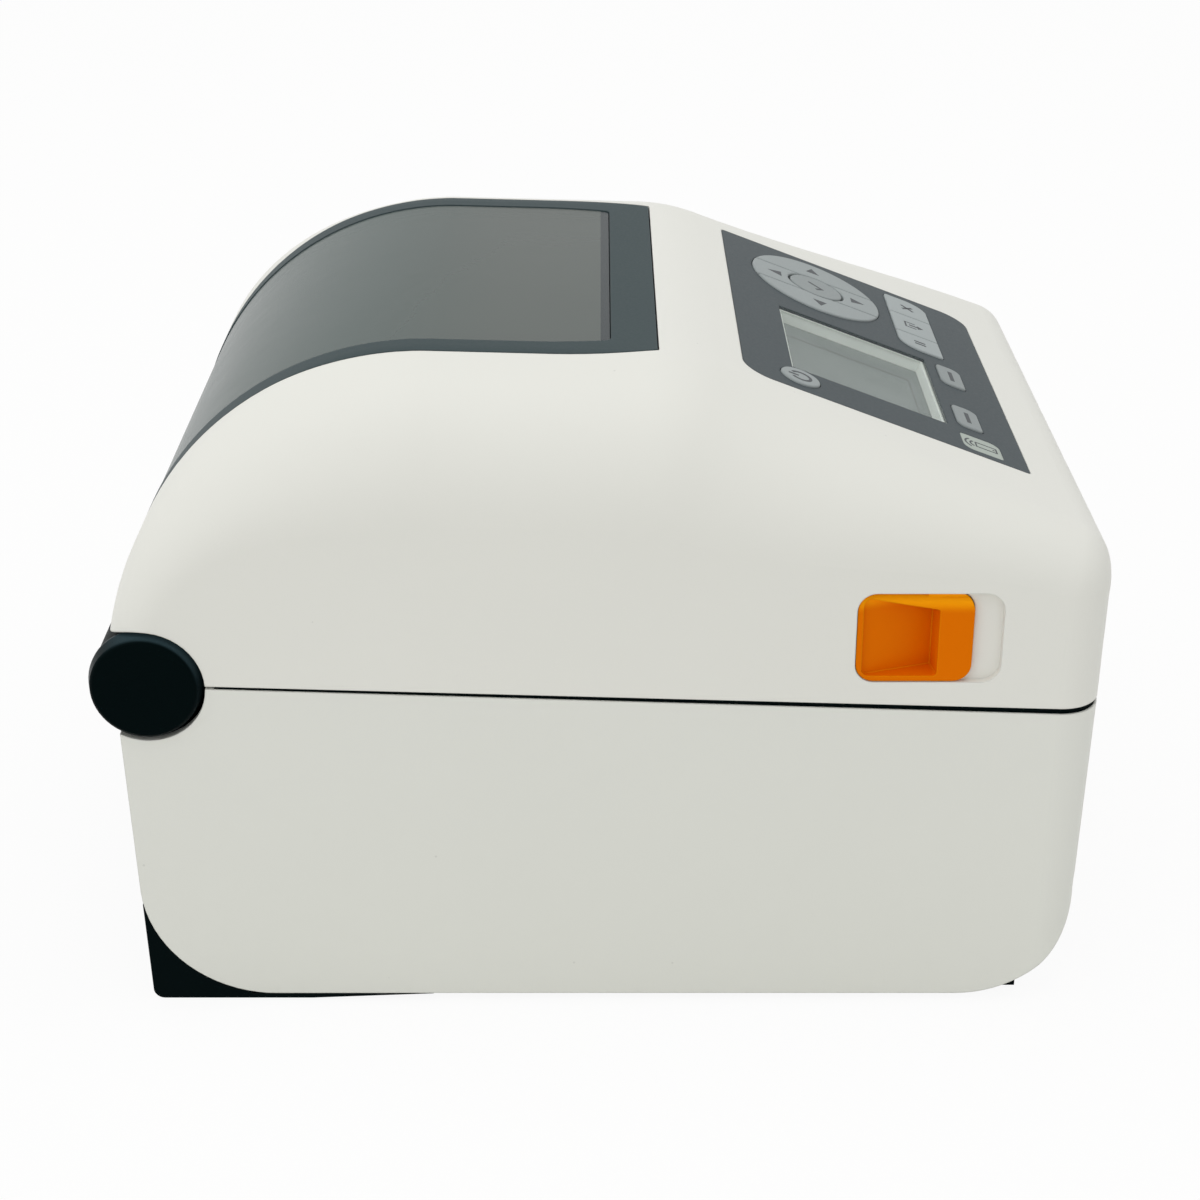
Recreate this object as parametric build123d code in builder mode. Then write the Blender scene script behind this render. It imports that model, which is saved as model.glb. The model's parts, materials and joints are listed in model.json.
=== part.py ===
"""Desktop label printer: a hinged, windowed clamshell over a media bay, platen drive and roll holders.

Frame: X to the operator's right, front towards -Y, Z up, origin under the middle of the footprint.
"""
import os
from math import acos, asin, atan2, cos, degrees, hypot, pi, radians, sin, tan

from build123d import *

os.makedirs("parts", exist_ok=True)

# Overall size
LENGTH = 221.0
WIDTH = 177.0
HEIGHT = 149.7
FRONT = -LENGTH / 2
REAR = LENGTH / 2

# Hinge
CAP_RADIUS = 12.5
CAP_FACE = WIDTH / 2
CAP_SEAT = 84.2
HINGE_Y = REAR - CAP_RADIUS
HINGE_Z = 82.0
BARREL_RADIUS = 12.0
BARREL_HALF = 69.0
PIN_RADIUS = 3.0
RUNNING = 0.05

# Housing skin
SIDE = 87.5
WALL = 2.5
DOME_RADIUS = 68.8
DOME_Y = 38.0
DOME_Z = HEIGHT - DOME_RADIUS
CREST_FALL = 1.5
CREST_RUN = 46.7
BEND_RADIUS = 45.0
PANEL_FALL = 21.0
SIDE_BLEND = 30.0
TAIL_BLEND = 8.0
BROW_BLEND = 12.0
FRONT_BLEND = 10.0
FRONT_LEAN = 1.0
BROW_Z = 106.0
BASE_LEAN = 1.4
BASE_FRONT = -110.2
BASE_REAR = 104.6
BASE_TOP = 84.0
SKIRT = 1.9
TOE_RADIUS = 26.5
HEEL_RADIUS = 29.0
PART_FALL = 1.8
PART_GAP = (0.7, 1.5)

# Window
FRAME_HALF = 61.2
FRAME_NOSE = 57.4
FRAME_FRONT = -13.2
FRAME_EASE = 10.0
GLASS_HALF = 53.7
GLASS_NOSE = 51.6
GLASS_EASE = 15.0
GLASS_FRONT = -2.8
GLASS_FOOT = 101.0

# Control panel, measured on its own slope: x across, s down from its back edge
PANEL_BACK = -31.8
PANEL_HALF = 54.7
PANEL_RUN = 69.0
PANEL_THICK = 2.5
LCD_X = (-40.0, 4.2)
LCD_S = (12.5, 50.8)
NAV_X = 31.6
NAV_S = 24.6
NAV_OVAL = (19.0, 17.2)
NAV_HUB = 7.6
NAV_BAND = 6.6
KEY_GAP = 0.2
KEY_PROUD = 0.4
KEY_FOOT = 3.9
BOARD_DEPTH = 5.0

# Side latches
LATCH_Y = (-80.4, -55.2)
LATCH_Z = (83.3, 104.3)
LATCH_TRAVEL = 6.2
LATCH_FLOOR = 79.5
LATCH_FLAP = 6.4
LATCH_SHELF = SIDE - 1.7
STEM_Y = (-73.3, -63.3)
STEM_Z = (89.5, 96.5)

# Media bay
ROLL_Y = 22.0
ROLL_Z = 75.0
WELL_RADIUS = 65.0
TUB_HALF = 62.0
DECK = 68.0
TRAY_FLOOR = 5.0

# Platen drive
PLATEN_Y = -93.0
PLATEN_Z = 69.3
PLATEN_RADIUS = 8.2
MOTOR_Y = -62.0
MOTOR_Z = 28.0
MODULE = 1.0
PLATEN_TEETH = 24
IDLER_TEETH = 36
PINION_TEETH = 12
GEAR_X = (70.0, 75.5)
MESH_EASE = 0.12

# Roll holders
RACK_Y = -60.0
RACK_TEETH = 12
HOLDER_OUT = 59.5
HOLDER_PLATE = 4.0


def save(part, label):
    """Name a finished piece and write it out."""
    part.label = label
    export_step(part, "parts/" + label + ".step")


def block(x, y, z, mode=Mode.ADD):
    """A box between two bounds on each axis."""
    with Locations(((x[0] + x[1]) / 2, (y[0] + y[1]) / 2, (z[0] + z[1]) / 2)):
        Box(x[1] - x[0], y[1] - y[0], z[1] - z[0], mode=mode)


def rod(x, y, z, radius, mode=Mode.ADD):
    """A cylinder along X between two bounds."""
    with Locations(Location(((x[0] + x[1]) / 2, y, z), (0, 90, 0))):
        Cylinder(radius, x[1] - x[0], mode=mode)


def post(x, y, z, radius, mode=Mode.ADD):
    """A cylinder along Z between two bounds."""
    with Locations((x, y, (z[0] + z[1]) / 2)):
        Cylinder(radius, z[1] - z[0], mode=mode)


def mirrored(bounds, side):
    """Bounds on X carried to one side of the middle plane."""
    return tuple(sorted(side * value for value in bounds))


def arch(half, nose, front, ease, foot, corner, mode=Mode.ADD):
    """A prism from one height up whose sides swing in to a narrower front edge."""
    pinch = half - nose
    reach = ease - front
    bow = (pinch ** 2 + reach ** 2) / (2 * pinch)
    turn = asin(reach / bow) / 2
    swing = (half - bow + bow * cos(turn), ease - bow * sin(turn))
    with BuildSketch(Plane.XY.offset(foot)) as plan:
        with BuildLine():
            Line((-nose, front), (nose, front))
            ThreePointArc((nose, front), swing, (half, ease))
            Polyline((half, ease), (half, 130), (-half, 130), (-half, ease))
            ThreePointArc((-half, ease), (-swing[0], swing[1]), (-nose, front))
        make_face()
        fillet(plan.vertices().group_by(Axis.Y)[0], corner)
    extrude(plan.sketch, amount=160 - foot, mode=mode)


def polar(y, z, radius, angle):
    return (y + radius * cos(radians(angle)), z + radius * sin(radians(angle)))


def parting(y, side=0):
    """Height of the line where the cover meets the base; side +1 is the cover's edge, -1 the base's."""
    ahead = HINGE_Y - y
    gap = PART_GAP[0] + (PART_GAP[1] - PART_GAP[0]) * ahead / (HINGE_Y - FRONT)
    return HINGE_Z + 0.3 - ahead * tan(radians(PART_FALL)) + side * gap / 2


# The crest runs down from the dome into the bend above the control panel
CREST = 90 + CREST_FALL
SLOPE = 90 + PANEL_FALL
BEND_Y = polar(DOME_Y, DOME_Z, DOME_RADIUS - BEND_RADIUS, CREST)[0] - CREST_RUN * cos(radians(CREST_FALL))
BEND_Z = polar(DOME_Y, DOME_Z, DOME_RADIUS - BEND_RADIUS, CREST)[1] - CREST_RUN * sin(radians(CREST_FALL))
SLOPE_TOP = polar(BEND_Y, BEND_Z, BEND_RADIUS, SLOPE)
PANEL_Z = SLOPE_TOP[1] - (SLOPE_TOP[0] - PANEL_BACK) * tan(radians(PANEL_FALL))
PANEL_UP = (0, -sin(radians(PANEL_FALL)), cos(radians(PANEL_FALL)))
PANEL = Plane(origin=(0, PANEL_BACK, PANEL_Z), x_dir=(1, 0, 0), z_dir=PANEL_UP)


SLOPE_WAY = (0, -cos(radians(PANEL_FALL)), -sin(radians(PANEL_FALL)))
SLOPE_RUN = (SLOPE_TOP[0] - FRONT) / cos(radians(PANEL_FALL))
FRONT_WAY = (0, -cos(radians(FRONT_LEAN)), -sin(radians(FRONT_LEAN)))


def shoulder(run):
    """Blend radius between slope and side, tightening from the bend to the front."""
    ease = min(run / SLOPE_RUN, 1)
    return SIDE_BLEND + (BROW_BLEND - SIDE_BLEND) * ease * ease * (3 - 2 * ease)


def tail(angle):
    """Blend radius between dome and side, tightening from the crest to the hinge."""
    ease = min(max((angle - 5) / 75, 0), 1)
    return TAIL_BLEND + (SIDE_BLEND - TAIL_BLEND) * ease * ease * (3 - 2 * ease)


def cover_block(inset):
    """Closed form of the cover with its skin drawn inward."""
    dome = DOME_RADIUS - inset
    bend = BEND_RADIUS - inset
    heel = DOME_Y + dome
    start = polar(BEND_Y, BEND_Z, bend, CREST)
    end = polar(BEND_Y, BEND_Z, bend, SLOPE)
    knee = (end[0] + (end[1] - 40) * tan(radians(PANEL_FALL)), 40)
    with BuildPart() as dome_end:
        for angle in (CREST, 84, 72, 60, 48, 36, 24, 12, 0):
            lean = (0, -sin(radians(angle)), cos(radians(angle)))
            with BuildSketch(Plane(origin=(0, DOME_Y, DOME_Z), x_dir=(1, 0, 0), z_dir=lean)) as section:
                with Locations((0, (dome + 12) / 2)):
                    Rectangle(2 * (SIDE - inset), dome - 12)
                fillet(section.vertices().group_by(Axis.Y)[-1], tail(angle) - inset)
        loft()
        with BuildSketch(Plane.XY.offset(40)) as plan:
            with Locations((0, (DOME_Y + heel) / 2)):
                Rectangle(2 * (SIDE - inset), heel - DOME_Y)
            fillet(plan.vertices().group_by(Axis.Y)[-1], TAIL_BLEND - inset)
        extrude(amount=DOME_Z - 40)
        rod((inset - SIDE, SIDE - inset), DOME_Y, DOME_Z, 13)
    with BuildPart() as back:
        with BuildSketch(Plane.YZ):
            with BuildLine():
                Polyline((DOME_Y, 40), (DOME_Y, DOME_Z), polar(DOME_Y, DOME_Z, dome, CREST), start)
                CenterArc((BEND_Y, BEND_Z), bend, CREST, SLOPE - CREST)
                Polyline(end, knee, (DOME_Y, 40))
            make_face()
        extrude(amount=SIDE - inset, both=True)
        ends = back.faces().sort_by(Axis.X)
        rims = [e for f in (ends[0], ends[-1]) for e in f.edges()]
        fillet([e for e in rims if e.center().Z > end[1]], SIDE_BLEND - inset)
        add(dome_end.part)
    with BuildPart() as form:
        for run in (0, 20, 40, 60, 80, SLOPE_RUN, 125):
            origin = (0, SLOPE_TOP[0] + run * SLOPE_WAY[1], SLOPE_TOP[1] + run * SLOPE_WAY[2])
            with BuildSketch(Plane(origin=origin, x_dir=(1, 0, 0), z_dir=SLOPE_WAY)) as section:
                with Locations((0, -inset - 65)):
                    Rectangle(2 * (SIDE - inset), 130)
                fillet(section.vertices().group_by(Axis.Y)[-1], shoulder(run) - inset)
        loft()
        block((-120, 120), (-300, 200), (-200, 40), Mode.SUBTRACT)
        with BuildSketch(Plane(origin=(0, FRONT + inset, BROW_Z), x_dir=(1, 0, 0), z_dir=FRONT_WAY)):
            Rectangle(400, 400)
        extrude(amount=120, mode=Mode.SUBTRACT)
        brow = form.faces().sort_by(Axis.Y)[0].edges()
        fillet([e for e in brow if e.center().Z > 41], FRONT_BLEND - inset)
        add(back.part)
    return form.part


def base_plan(inset, reach):
    """Tapered tub form of the base; reach carries its back end rearward."""
    half = SIDE - inset
    front = BASE_FRONT + inset
    with BuildPart() as form:
        with BuildSketch(Plane.XY.offset(BASE_TOP)) as plan:
            with Locations((0, (front + reach) / 2)):
                Rectangle(2 * half, reach - front)
            fillet(plan.vertices().group_by(Axis.Y)[0], FRONT_BLEND - inset)
        extrude(amount=-BASE_TOP - 10, taper=BASE_LEAN)
    return form.part


def rim_ledge(inset, reach, depth):
    """Band of the base form from a depth below its top edge up to just under the cover's edge."""
    with BuildPart() as form:
        add(base_plan(inset, reach))
        with BuildSketch(Plane.YZ) as band:
            Polygon((-130, parting(-130, -1) - depth), (130, parting(130, -1) - depth),
                    (130, parting(130, 1) - 0.3), (-130, parting(-130, 1) - 0.3), align=None)
        extrude(band.sketch, amount=120, both=True, mode=Mode.INTERSECT)
    return form.part


def leaf(x, s, width, depth, bold, fine):
    """Panel shape with its right front and left back corners rounded more than the other two."""
    with BuildSketch() as shape:
        with Locations((x, -s)):
            Rectangle(width, depth)
        swept = shape.vertices().sort_by(lambda v: v.X - v.Y)
        fillet([swept[0], swept[-1]], bold)
        crisp = shape.vertices().sort_by(lambda v: v.X + v.Y)
        fillet([crisp[0], crisp[-1]], fine)
    return shape.sketch


def panel_outline(grow):
    return leaf(0, PANEL_RUN / 2, 2 * (PANEL_HALF + grow), PANEL_RUN + 2 * grow, 7 + grow, 1)


def gear_sketch(teeth, phase):
    """Toothed outline centred on the origin with one tooth at the phase angle."""
    pitch = MODULE * teeth / 2
    tip = pitch + 0.9 * MODULE
    root = pitch - 1.15 * MODULE
    tip_half = degrees(0.30 / tip)
    root_half = degrees(1.0 / root)
    points = []
    for tooth in range(teeth):
        middle = phase + 360 * tooth / teeth
        points.append(polar(0, 0, root, middle - root_half))
        points.append(polar(0, 0, tip, middle - tip_half))
        points.append(polar(0, 0, tip, middle + tip_half))
        points.append(polar(0, 0, root, middle + root_half))
    with BuildSketch() as shape:
        Polygon(*points, align=None)
    return shape.sketch


DOMES = {inset: cover_block(inset) for inset in (0, 0.1, 0.25, 1.0, 1.9, WALL, WALL + 0.05, 3.2)}

# Top cover: white clamshell skin with window, panel and latch openings
with BuildPart() as latch_wells:
    for side in (-1, 1):
        block(mirrored((77, 87), side), (LATCH_Y[0] - 9, LATCH_Y[1] + 4), (LATCH_Z[0] - 3.0, LATCH_Z[1] + 3.2))
    add(DOMES[1.0], mode=Mode.INTERSECT)

with BuildPart() as top_cover:
    add(DOMES[0])
    add(DOMES[WALL], mode=Mode.SUBTRACT)
    add(latch_wells.part)
    with BuildSketch(Plane.YZ):
        Polygon((-130, parting(-130, 1)), (130, parting(130, 1)), (130, 0), (-130, 0), align=None)
    extrude(amount=120, both=True, mode=Mode.SUBTRACT)
    rod((-120, 120), HINGE_Y, HINGE_Z, CAP_RADIUS + 0.6, Mode.SUBTRACT)
    arch(FRAME_HALF, FRAME_NOSE, FRAME_FRONT, FRAME_EASE, 60, 0.8, Mode.SUBTRACT)
    with BuildSketch(PANEL):
        add(panel_outline(0))
    extrude(amount=6, both=True, mode=Mode.SUBTRACT)
    for side in (-1, 1):
        for floor, low in ((LATCH_FLOOR, LATCH_Y[0]), (LATCH_SHELF, LATCH_Y[0] - LATCH_TRAVEL)):
            with BuildSketch(Plane.YZ.offset(side * floor)):
                with Locations(((low + LATCH_Y[1]) / 2, (LATCH_Z[0] + LATCH_Z[1]) / 2)):
                    RectangleRounded(LATCH_Y[1] - low, LATCH_Z[1] - LATCH_Z[0], 4.2)
            extrude(amount=side * 12, mode=Mode.SUBTRACT)
        block(mirrored((76, 80), side), (STEM_Y[0] - LATCH_TRAVEL - 0.5, STEM_Y[1] + 0.3),
              (STEM_Z[0] - 0.3, STEM_Z[1] + 0.3), Mode.SUBTRACT)
    block((-58, 58), (-120, -100), (60, 80.4), Mode.SUBTRACT)
save(top_cover.part, "top_cover")

# Window frame: dark surround that follows the dome down to the hinge barrel
with BuildPart() as glass_seat:
    arch(GLASS_HALF, GLASS_NOSE, GLASS_FRONT, GLASS_EASE, GLASS_FOOT, 2)
    add(DOMES[1.9], mode=Mode.SUBTRACT)

with BuildPart() as window_frame:
    arch(FRAME_HALF - 0.3, FRAME_NOSE - 0.3, FRAME_FRONT + 0.3, FRAME_EASE, HINGE_Z + 2, 0.6)
    add(DOMES[0], mode=Mode.INTERSECT)
    add(DOMES[3.2], mode=Mode.SUBTRACT)
    rod((-120, 120), HINGE_Y, HINGE_Z, BARREL_RADIUS + 0.4, Mode.SUBTRACT)
    block((-65, 65), (40, HINGE_Y), (60, 96), Mode.SUBTRACT)
    add(glass_seat.part, mode=Mode.SUBTRACT)
    inner = GLASS_HALF - 2.4
    block((-inner, inner), (GLASS_FRONT + 2.2, 130), (GLASS_FOOT + 2.4, 160), Mode.SUBTRACT)
save(window_frame.part, "window_frame")

# Window: smoked pane curved over the roll
with BuildPart() as window:
    arch(GLASS_HALF - 0.25, GLASS_NOSE - 0.25, GLASS_FRONT + 0.25, GLASS_EASE, GLASS_FOOT + 0.25, 1.8)
    add(DOMES[0.25], mode=Mode.INTERSECT)
    add(DOMES[1.9], mode=Mode.SUBTRACT)
save(window.part, "window")

# Cover frame: cheeks, cross bars and the hinge barrel behind the skin
with BuildPart() as cheeks:
    for side in (-1, 1):
        block(mirrored((66.5, BARREL_HALF), side), (-104, 120), (60, 160))
    add(DOMES[WALL + 0.05], mode=Mode.INTERSECT)
    with BuildSketch(Plane.YZ):
        Polygon((-130, parting(-130, 1) + 0.6), (130, parting(130, 1) + 0.6), (130, 0), (-130, 0), align=None)
    extrude(amount=120, both=True, mode=Mode.SUBTRACT)
    rod((-120, 120), ROLL_Y, ROLL_Z + 2, 54, Mode.SUBTRACT)

with BuildPart() as cover_frame:
    add(cheeks.part)
    rod((-BARREL_HALF, BARREL_HALF), HINGE_Y, HINGE_Z, BARREL_RADIUS)
    block((-67, 67), (-99, -91), (97, 101))
    with BuildSketch(PANEL.offset(-BOARD_DEPTH - 1.6)):
        with Locations((0, -31)):
            Rectangle(134, 7)
    extrude(amount=-2.5)
    rod((-120, 120), HINGE_Y, HINGE_Z, PIN_RADIUS + RUNNING, Mode.SUBTRACT)
    rod((-120, 120), -68, 96, 2.0, Mode.SUBTRACT)
save(cover_frame.part, "cover_frame")

# Control panel plate with its key and display openings
SOFT_KEYS = ((-3.2, 56.8), (-31.5, 56.8))
ROW_S = 51.2
ROW_DEPTH = 11.4
POWER_X = -46.1
POWER_S = 14.0
TAG = (-47.4, 58.0, 9.0, 9.6)


def row_outline(grow):
    """Joined outline of the three function keys."""
    return leaf(30.2, ROW_S, 40.4 + 2 * grow, ROW_DEPTH + 2 * grow, 6 + grow, 0.8)


with BuildPart() as control_panel:
    with BuildSketch(PANEL):
        add(panel_outline(-0.15))
        with Locations(((LCD_X[0] + LCD_X[1]) / 2, -(LCD_S[0] + LCD_S[1]) / 2)):
            Rectangle(LCD_X[1] - LCD_X[0], LCD_S[1] - LCD_S[0], mode=Mode.SUBTRACT)
        with Locations((POWER_X, -POWER_S)):
            Circle(4.7 + KEY_GAP, mode=Mode.SUBTRACT)
        with Locations((NAV_X, -NAV_S)):
            Ellipse(NAV_OVAL[0] + KEY_GAP, NAV_OVAL[1] + KEY_GAP, mode=Mode.SUBTRACT)
        add(row_outline(KEY_GAP), mode=Mode.SUBTRACT)
        for x, s in SOFT_KEYS:
            add(leaf(x, s, 13 + 2 * KEY_GAP, 6.2 + 2 * KEY_GAP, 3, 0.8), mode=Mode.SUBTRACT)
    extrude(amount=-PANEL_THICK)
    with BuildSketch(PANEL):
        add(leaf(TAG[0], TAG[1], TAG[2] + 0.1, TAG[3] + 0.1, 2.6, 0.8))
    extrude(amount=-0.6, mode=Mode.SUBTRACT)
    with BuildSketch(PANEL.offset(-PANEL_THICK)):
        with Locations((47, -5), (-47, -40), (47, -64), (-12, -64)):
            Circle(2)
    extrude(amount=-BOARD_DEPTH + PANEL_THICK)
save(control_panel.part, "control_panel")

with BuildPart() as tag_plate:
    with BuildSketch(PANEL.offset(-0.6)):
        add(leaf(TAG[0], TAG[1], TAG[2], TAG[3], 2.6, 0.8))
    extrude(amount=0.58)
save(tag_plate.part, "tag_plate")

# Display: clear lens over a pale surround with the glass set deep inside
LCD_PLACE = ((LCD_X[0] + LCD_X[1]) / 2, -(LCD_S[0] + LCD_S[1]) / 2)
LCD_W = LCD_X[1] - LCD_X[0]
LCD_D = LCD_S[1] - LCD_S[0]
with BuildPart() as lcd_lens:
    with BuildSketch(PANEL.offset(-0.7)):
        with Locations(LCD_PLACE):
            Rectangle(LCD_W - 0.2, LCD_D - 0.2)
    extrude(amount=0.6)
save(lcd_lens.part, "lcd_lens")

with BuildPart() as lcd_surround:
    with BuildSketch(PANEL.offset(-0.7)):
        with Locations(LCD_PLACE):
            Rectangle(LCD_W - 0.2, LCD_D - 0.2)
            Rectangle(LCD_W - 1.4, LCD_D - 1.4, mode=Mode.SUBTRACT)
    extrude(amount=-BOARD_DEPTH + 0.7)
save(lcd_surround.part, "lcd_surround")

with BuildPart() as lcd_glass:
    with BuildSketch(PANEL.offset(-BOARD_DEPTH)):
        with Locations(LCD_PLACE):
            Rectangle(LCD_W - 1.5, LCD_D - 1.5)
    extrude(amount=BOARD_DEPTH - 3.4)
save(lcd_glass.part, "lcd_glass")

with BuildPart() as panel_board:
    with BuildSketch(PANEL.offset(-BOARD_DEPTH)):
        with Locations((0, -34.5)):
            Rectangle(104, 65)
    extrude(amount=-1.6)
save(panel_board.part, "panel_board")

# Keys: each stands proud of the plate and rides straight down its slope's normal


def nav_sketch(name):
    """One of the four arrow segments round the select key."""
    split = NAV_BAND + 0.25
    reach = NAV_OVAL[0]
    masks = {
        "right": ((split + reach, 0), (2 * reach, 2 * reach)),
        "left": ((-split - reach, 0), (2 * reach, 2 * reach)),
        "up": ((0, reach / 2), (2 * NAV_BAND - 0.5, reach)),
        "down": ((0, -reach / 2), (2 * NAV_BAND - 0.5, reach)),
    }
    place, size = masks[name]
    with BuildSketch() as shape:
        Ellipse(*NAV_OVAL)
        Circle(NAV_HUB, mode=Mode.SUBTRACT)
        with Locations(place):
            Rectangle(*size, mode=Mode.INTERSECT)
    return shape.sketch.moved(Location((NAV_X, -NAV_S, 0)))


def row_sketch(x):
    """One function key cut from the joined row between two bounds on X."""
    with BuildSketch() as shape:
        add(row_outline(0))
        with Locations(((x[0] + x[1]) / 2, -ROW_S)):
            Rectangle(x[1] - x[0], ROW_DEPTH + 2, mode=Mode.INTERSECT)
    return shape.sketch


def disc_sketch(x, s, radius):
    with BuildSketch() as shape:
        with Locations((x, -s)):
            Circle(radius)
    return shape.sketch


KEYS = {
    "key_power": disc_sketch(POWER_X, POWER_S, 4.7),
    "key_select": disc_sketch(NAV_X, NAV_S, NAV_HUB - 0.6),
    "key_up": nav_sketch("up"),
    "key_down": nav_sketch("down"),
    "key_left": nav_sketch("left"),
    "key_right": nav_sketch("right"),
    "key_cancel": row_sketch((36.65, 52)),
    "key_feed": row_sketch((21.55, 36.15)),
    "key_pause": row_sketch((9, 21.05)),
    "key_soft_right": leaf(*SOFT_KEYS[0], 13, 6.2, 3, 0.8),
    "key_soft_left": leaf(*SOFT_KEYS[1], 13, 6.2, 3, 0.8),
}
for label, outline in KEYS.items():
    with BuildPart() as key:
        with BuildSketch(PANEL.offset(-KEY_FOOT)):
            add(outline)
        extrude(amount=KEY_FOOT + KEY_PROUD)
        crown = key.faces().sort_by(Axis(PANEL.origin, PANEL.z_dir))[-1]
        chamfer(crown.edges(), 0.25)
    save(key.part, label)

with BuildPart() as key_switches:
    for outline in KEYS.values():
        middle = outline.bounding_box().center()
        with BuildSketch(PANEL.offset(-BOARD_DEPTH)):
            with Locations((middle.X, middle.Y)):
                Rectangle(5, 5)
        extrude(amount=0.4)
save(key_switches.part, "key_switches")

# Print head: ceramic strip under a finned sink on a bracket that tips on its pivot pin
with BuildPart() as print_head:
    block((-56, 56), (-101, -80), (79.0, 86.0))
    block((-53, 53), (-99.5, -86), (78.0, 79.0))
    for fin in range(7):
        block((-57, 57), (-98.4 + 2.6 * fin, -97.2 + 2.6 * fin), (82.6, 86.5), Mode.SUBTRACT)
save(print_head.part, "print_head")

with BuildPart() as head_bracket:
    block((-60, 60), (-101, -64.5), (86.0, 87.5))
    for side in (-1, 1):
        block(mirrored((58.5, 60), side), (-74, -64.5), (86.0, 96))
        rod(mirrored((58.5, 60), side), -68, 96, 3.5)
        rod(mirrored((57, 62), side), -68, 96, 2.0 + RUNNING, Mode.SUBTRACT)
    block((-40, 40), (-84, -73), (85, 88), Mode.SUBTRACT)
save(head_bracket.part, "head_bracket")

with BuildPart() as head_pivot:
    rod((-BARREL_HALF, BARREL_HALF), -68, 96, 2.0)
save(head_pivot.part, "head_pivot")

# Leaf springs: steel strips bent back on themselves between the cross bar and the bracket
with BuildPart() as head_springs:
    top, foot, strip = 96.95, 87.55, 0.5
    bend = (-93.5, (top + foot) / 2)
    reach = (top - foot) / 2
    for side in (-1, 1):
        with BuildSketch(Plane.YZ.offset(side * 36)):
            with Locations(bend):
                Circle(reach)
            with Locations((-96, bend[1])):
                Rectangle(5, 2 * reach)
            with Locations(bend):
                Circle(reach - strip, mode=Mode.SUBTRACT)
            with Locations((-97, bend[1])):
                Rectangle(7, 2 * (reach - strip), mode=Mode.SUBTRACT)
        extrude(amount=4, both=True)
save(head_springs.part, "head_springs")

# Tear bar: toothed strip behind the front lip
with BuildPart() as tear_bar:
    count = 44
    edge = [(-55 + 2.5 * tooth + shift, height)
            for tooth in range(count) for shift, height in ((0, 80.2), (1.25, 79.0))]
    with BuildSketch(Plane.XZ.offset(106)):
        Polygon(*edge, (55, 80.2), (55, 88), (-55, 88), align=None)
    extrude(amount=1)
save(tear_bar.part, "tear_bar")

# Latches: scooped slider in its pocket with a hook reaching down inside
for side, label in ((-1, "left"), (1, "right")):
    rear = LATCH_Y[1] - 1.4
    toe = LATCH_Y[0] + 8.2
    sill = LATCH_Z[0] + 1.4
    with BuildPart() as scoop:
        with BuildSketch(Plane.YZ) as mouth:
            Polygon((rear, sill), (toe - 1.2, sill), (toe - 1.2, LATCH_Z[1] - 3.9),
                    (rear, LATCH_Z[1] - 1.4), align=None)
            fillet(mouth.vertices(), 1.6)
        extrude(amount=side * 120)
        with BuildSketch(Plane.XY):
            Polygon((side * 86.2, rear), (side * 95, rear), (side * 95, toe - 1.6),
                    (side * (LATCH_FLOOR + 1.4), toe), align=None)
        extrude(amount=200, both=True, mode=Mode.INTERSECT)
    with BuildPart() as latch:
        for seat, low in ((LATCH_FLOOR + 0.3, LATCH_Y[0] + LATCH_FLAP), (LATCH_SHELF + 0.2, LATCH_Y[0] + 0.15)):
            with BuildSketch(Plane.YZ.offset(side * seat)):
                with Locations(((low + LATCH_Y[1] - 0.15) / 2, (LATCH_Z[0] + LATCH_Z[1]) / 2)):
                    RectangleRounded(LATCH_Y[1] - 0.15 - low, LATCH_Z[1] - LATCH_Z[0] - 0.5, 3.9)
            extrude(amount=side * 10)
        add(DOMES[0.25], mode=Mode.INTERSECT)
        with BuildSketch(Plane.XZ) as crown:
            with Locations((side * (SIDE - 20.25), LATCH_Z[1] - 30.25)):
                Rectangle(40, 60)
            fillet(crown.vertices().sort_by(lambda v: side * v.X + v.Y)[-1], 3.6)
        extrude(amount=200, both=True, mode=Mode.INTERSECT)
        add(scoop.part, mode=Mode.SUBTRACT)
        block(mirrored((76.0, LATCH_FLOOR + 0.4), side), STEM_Y, STEM_Z)
    save(latch.part, "latch_" + label)
    with BuildPart() as hook:
        with BuildSketch(Plane.YZ.offset(side * 73.5)):
            nose = STEM_Y[1] + 3
            Polygon((STEM_Y[0], STEM_Z[1]), (STEM_Y[1], STEM_Z[1]), (STEM_Y[1], 73.5), (nose, 73.5),
                    (nose, 72.5), (nose - 2, 70.5), (STEM_Y[0], 70.5), align=None)
        extrude(amount=side * 2.5)
    save(hook.part, "latch_hook_" + label)

# Base shell: white sides and front with rounded lower corners
LEAN = tan(radians(BASE_LEAN))
TOE_Z = SKIRT + TOE_RADIUS
TOE_Y = BASE_FRONT + (BASE_TOP - TOE_Z) * LEAN + TOE_RADIUS
HEEL_Z = SKIRT + HEEL_RADIUS
HEEL_Y = BASE_REAR - (BASE_TOP - HEEL_Z) * LEAN - HEEL_RADIUS

with BuildPart() as base_cavity:
    add(base_plan(WALL, 140))
    with BuildSketch(Plane.YZ):
        with Locations(((TOE_Y + 160) / 2, 45)):
            Rectangle(160 - TOE_Y, 130)
        with Locations(((TOE_Y - 160) / 2, (TOE_Z + 110) / 2)):
            Rectangle(160 + TOE_Y, 110 - TOE_Z)
        with Locations((TOE_Y, TOE_Z)):
            Circle(TOE_RADIUS - WALL)
    extrude(amount=120, both=True, mode=Mode.INTERSECT)

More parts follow.
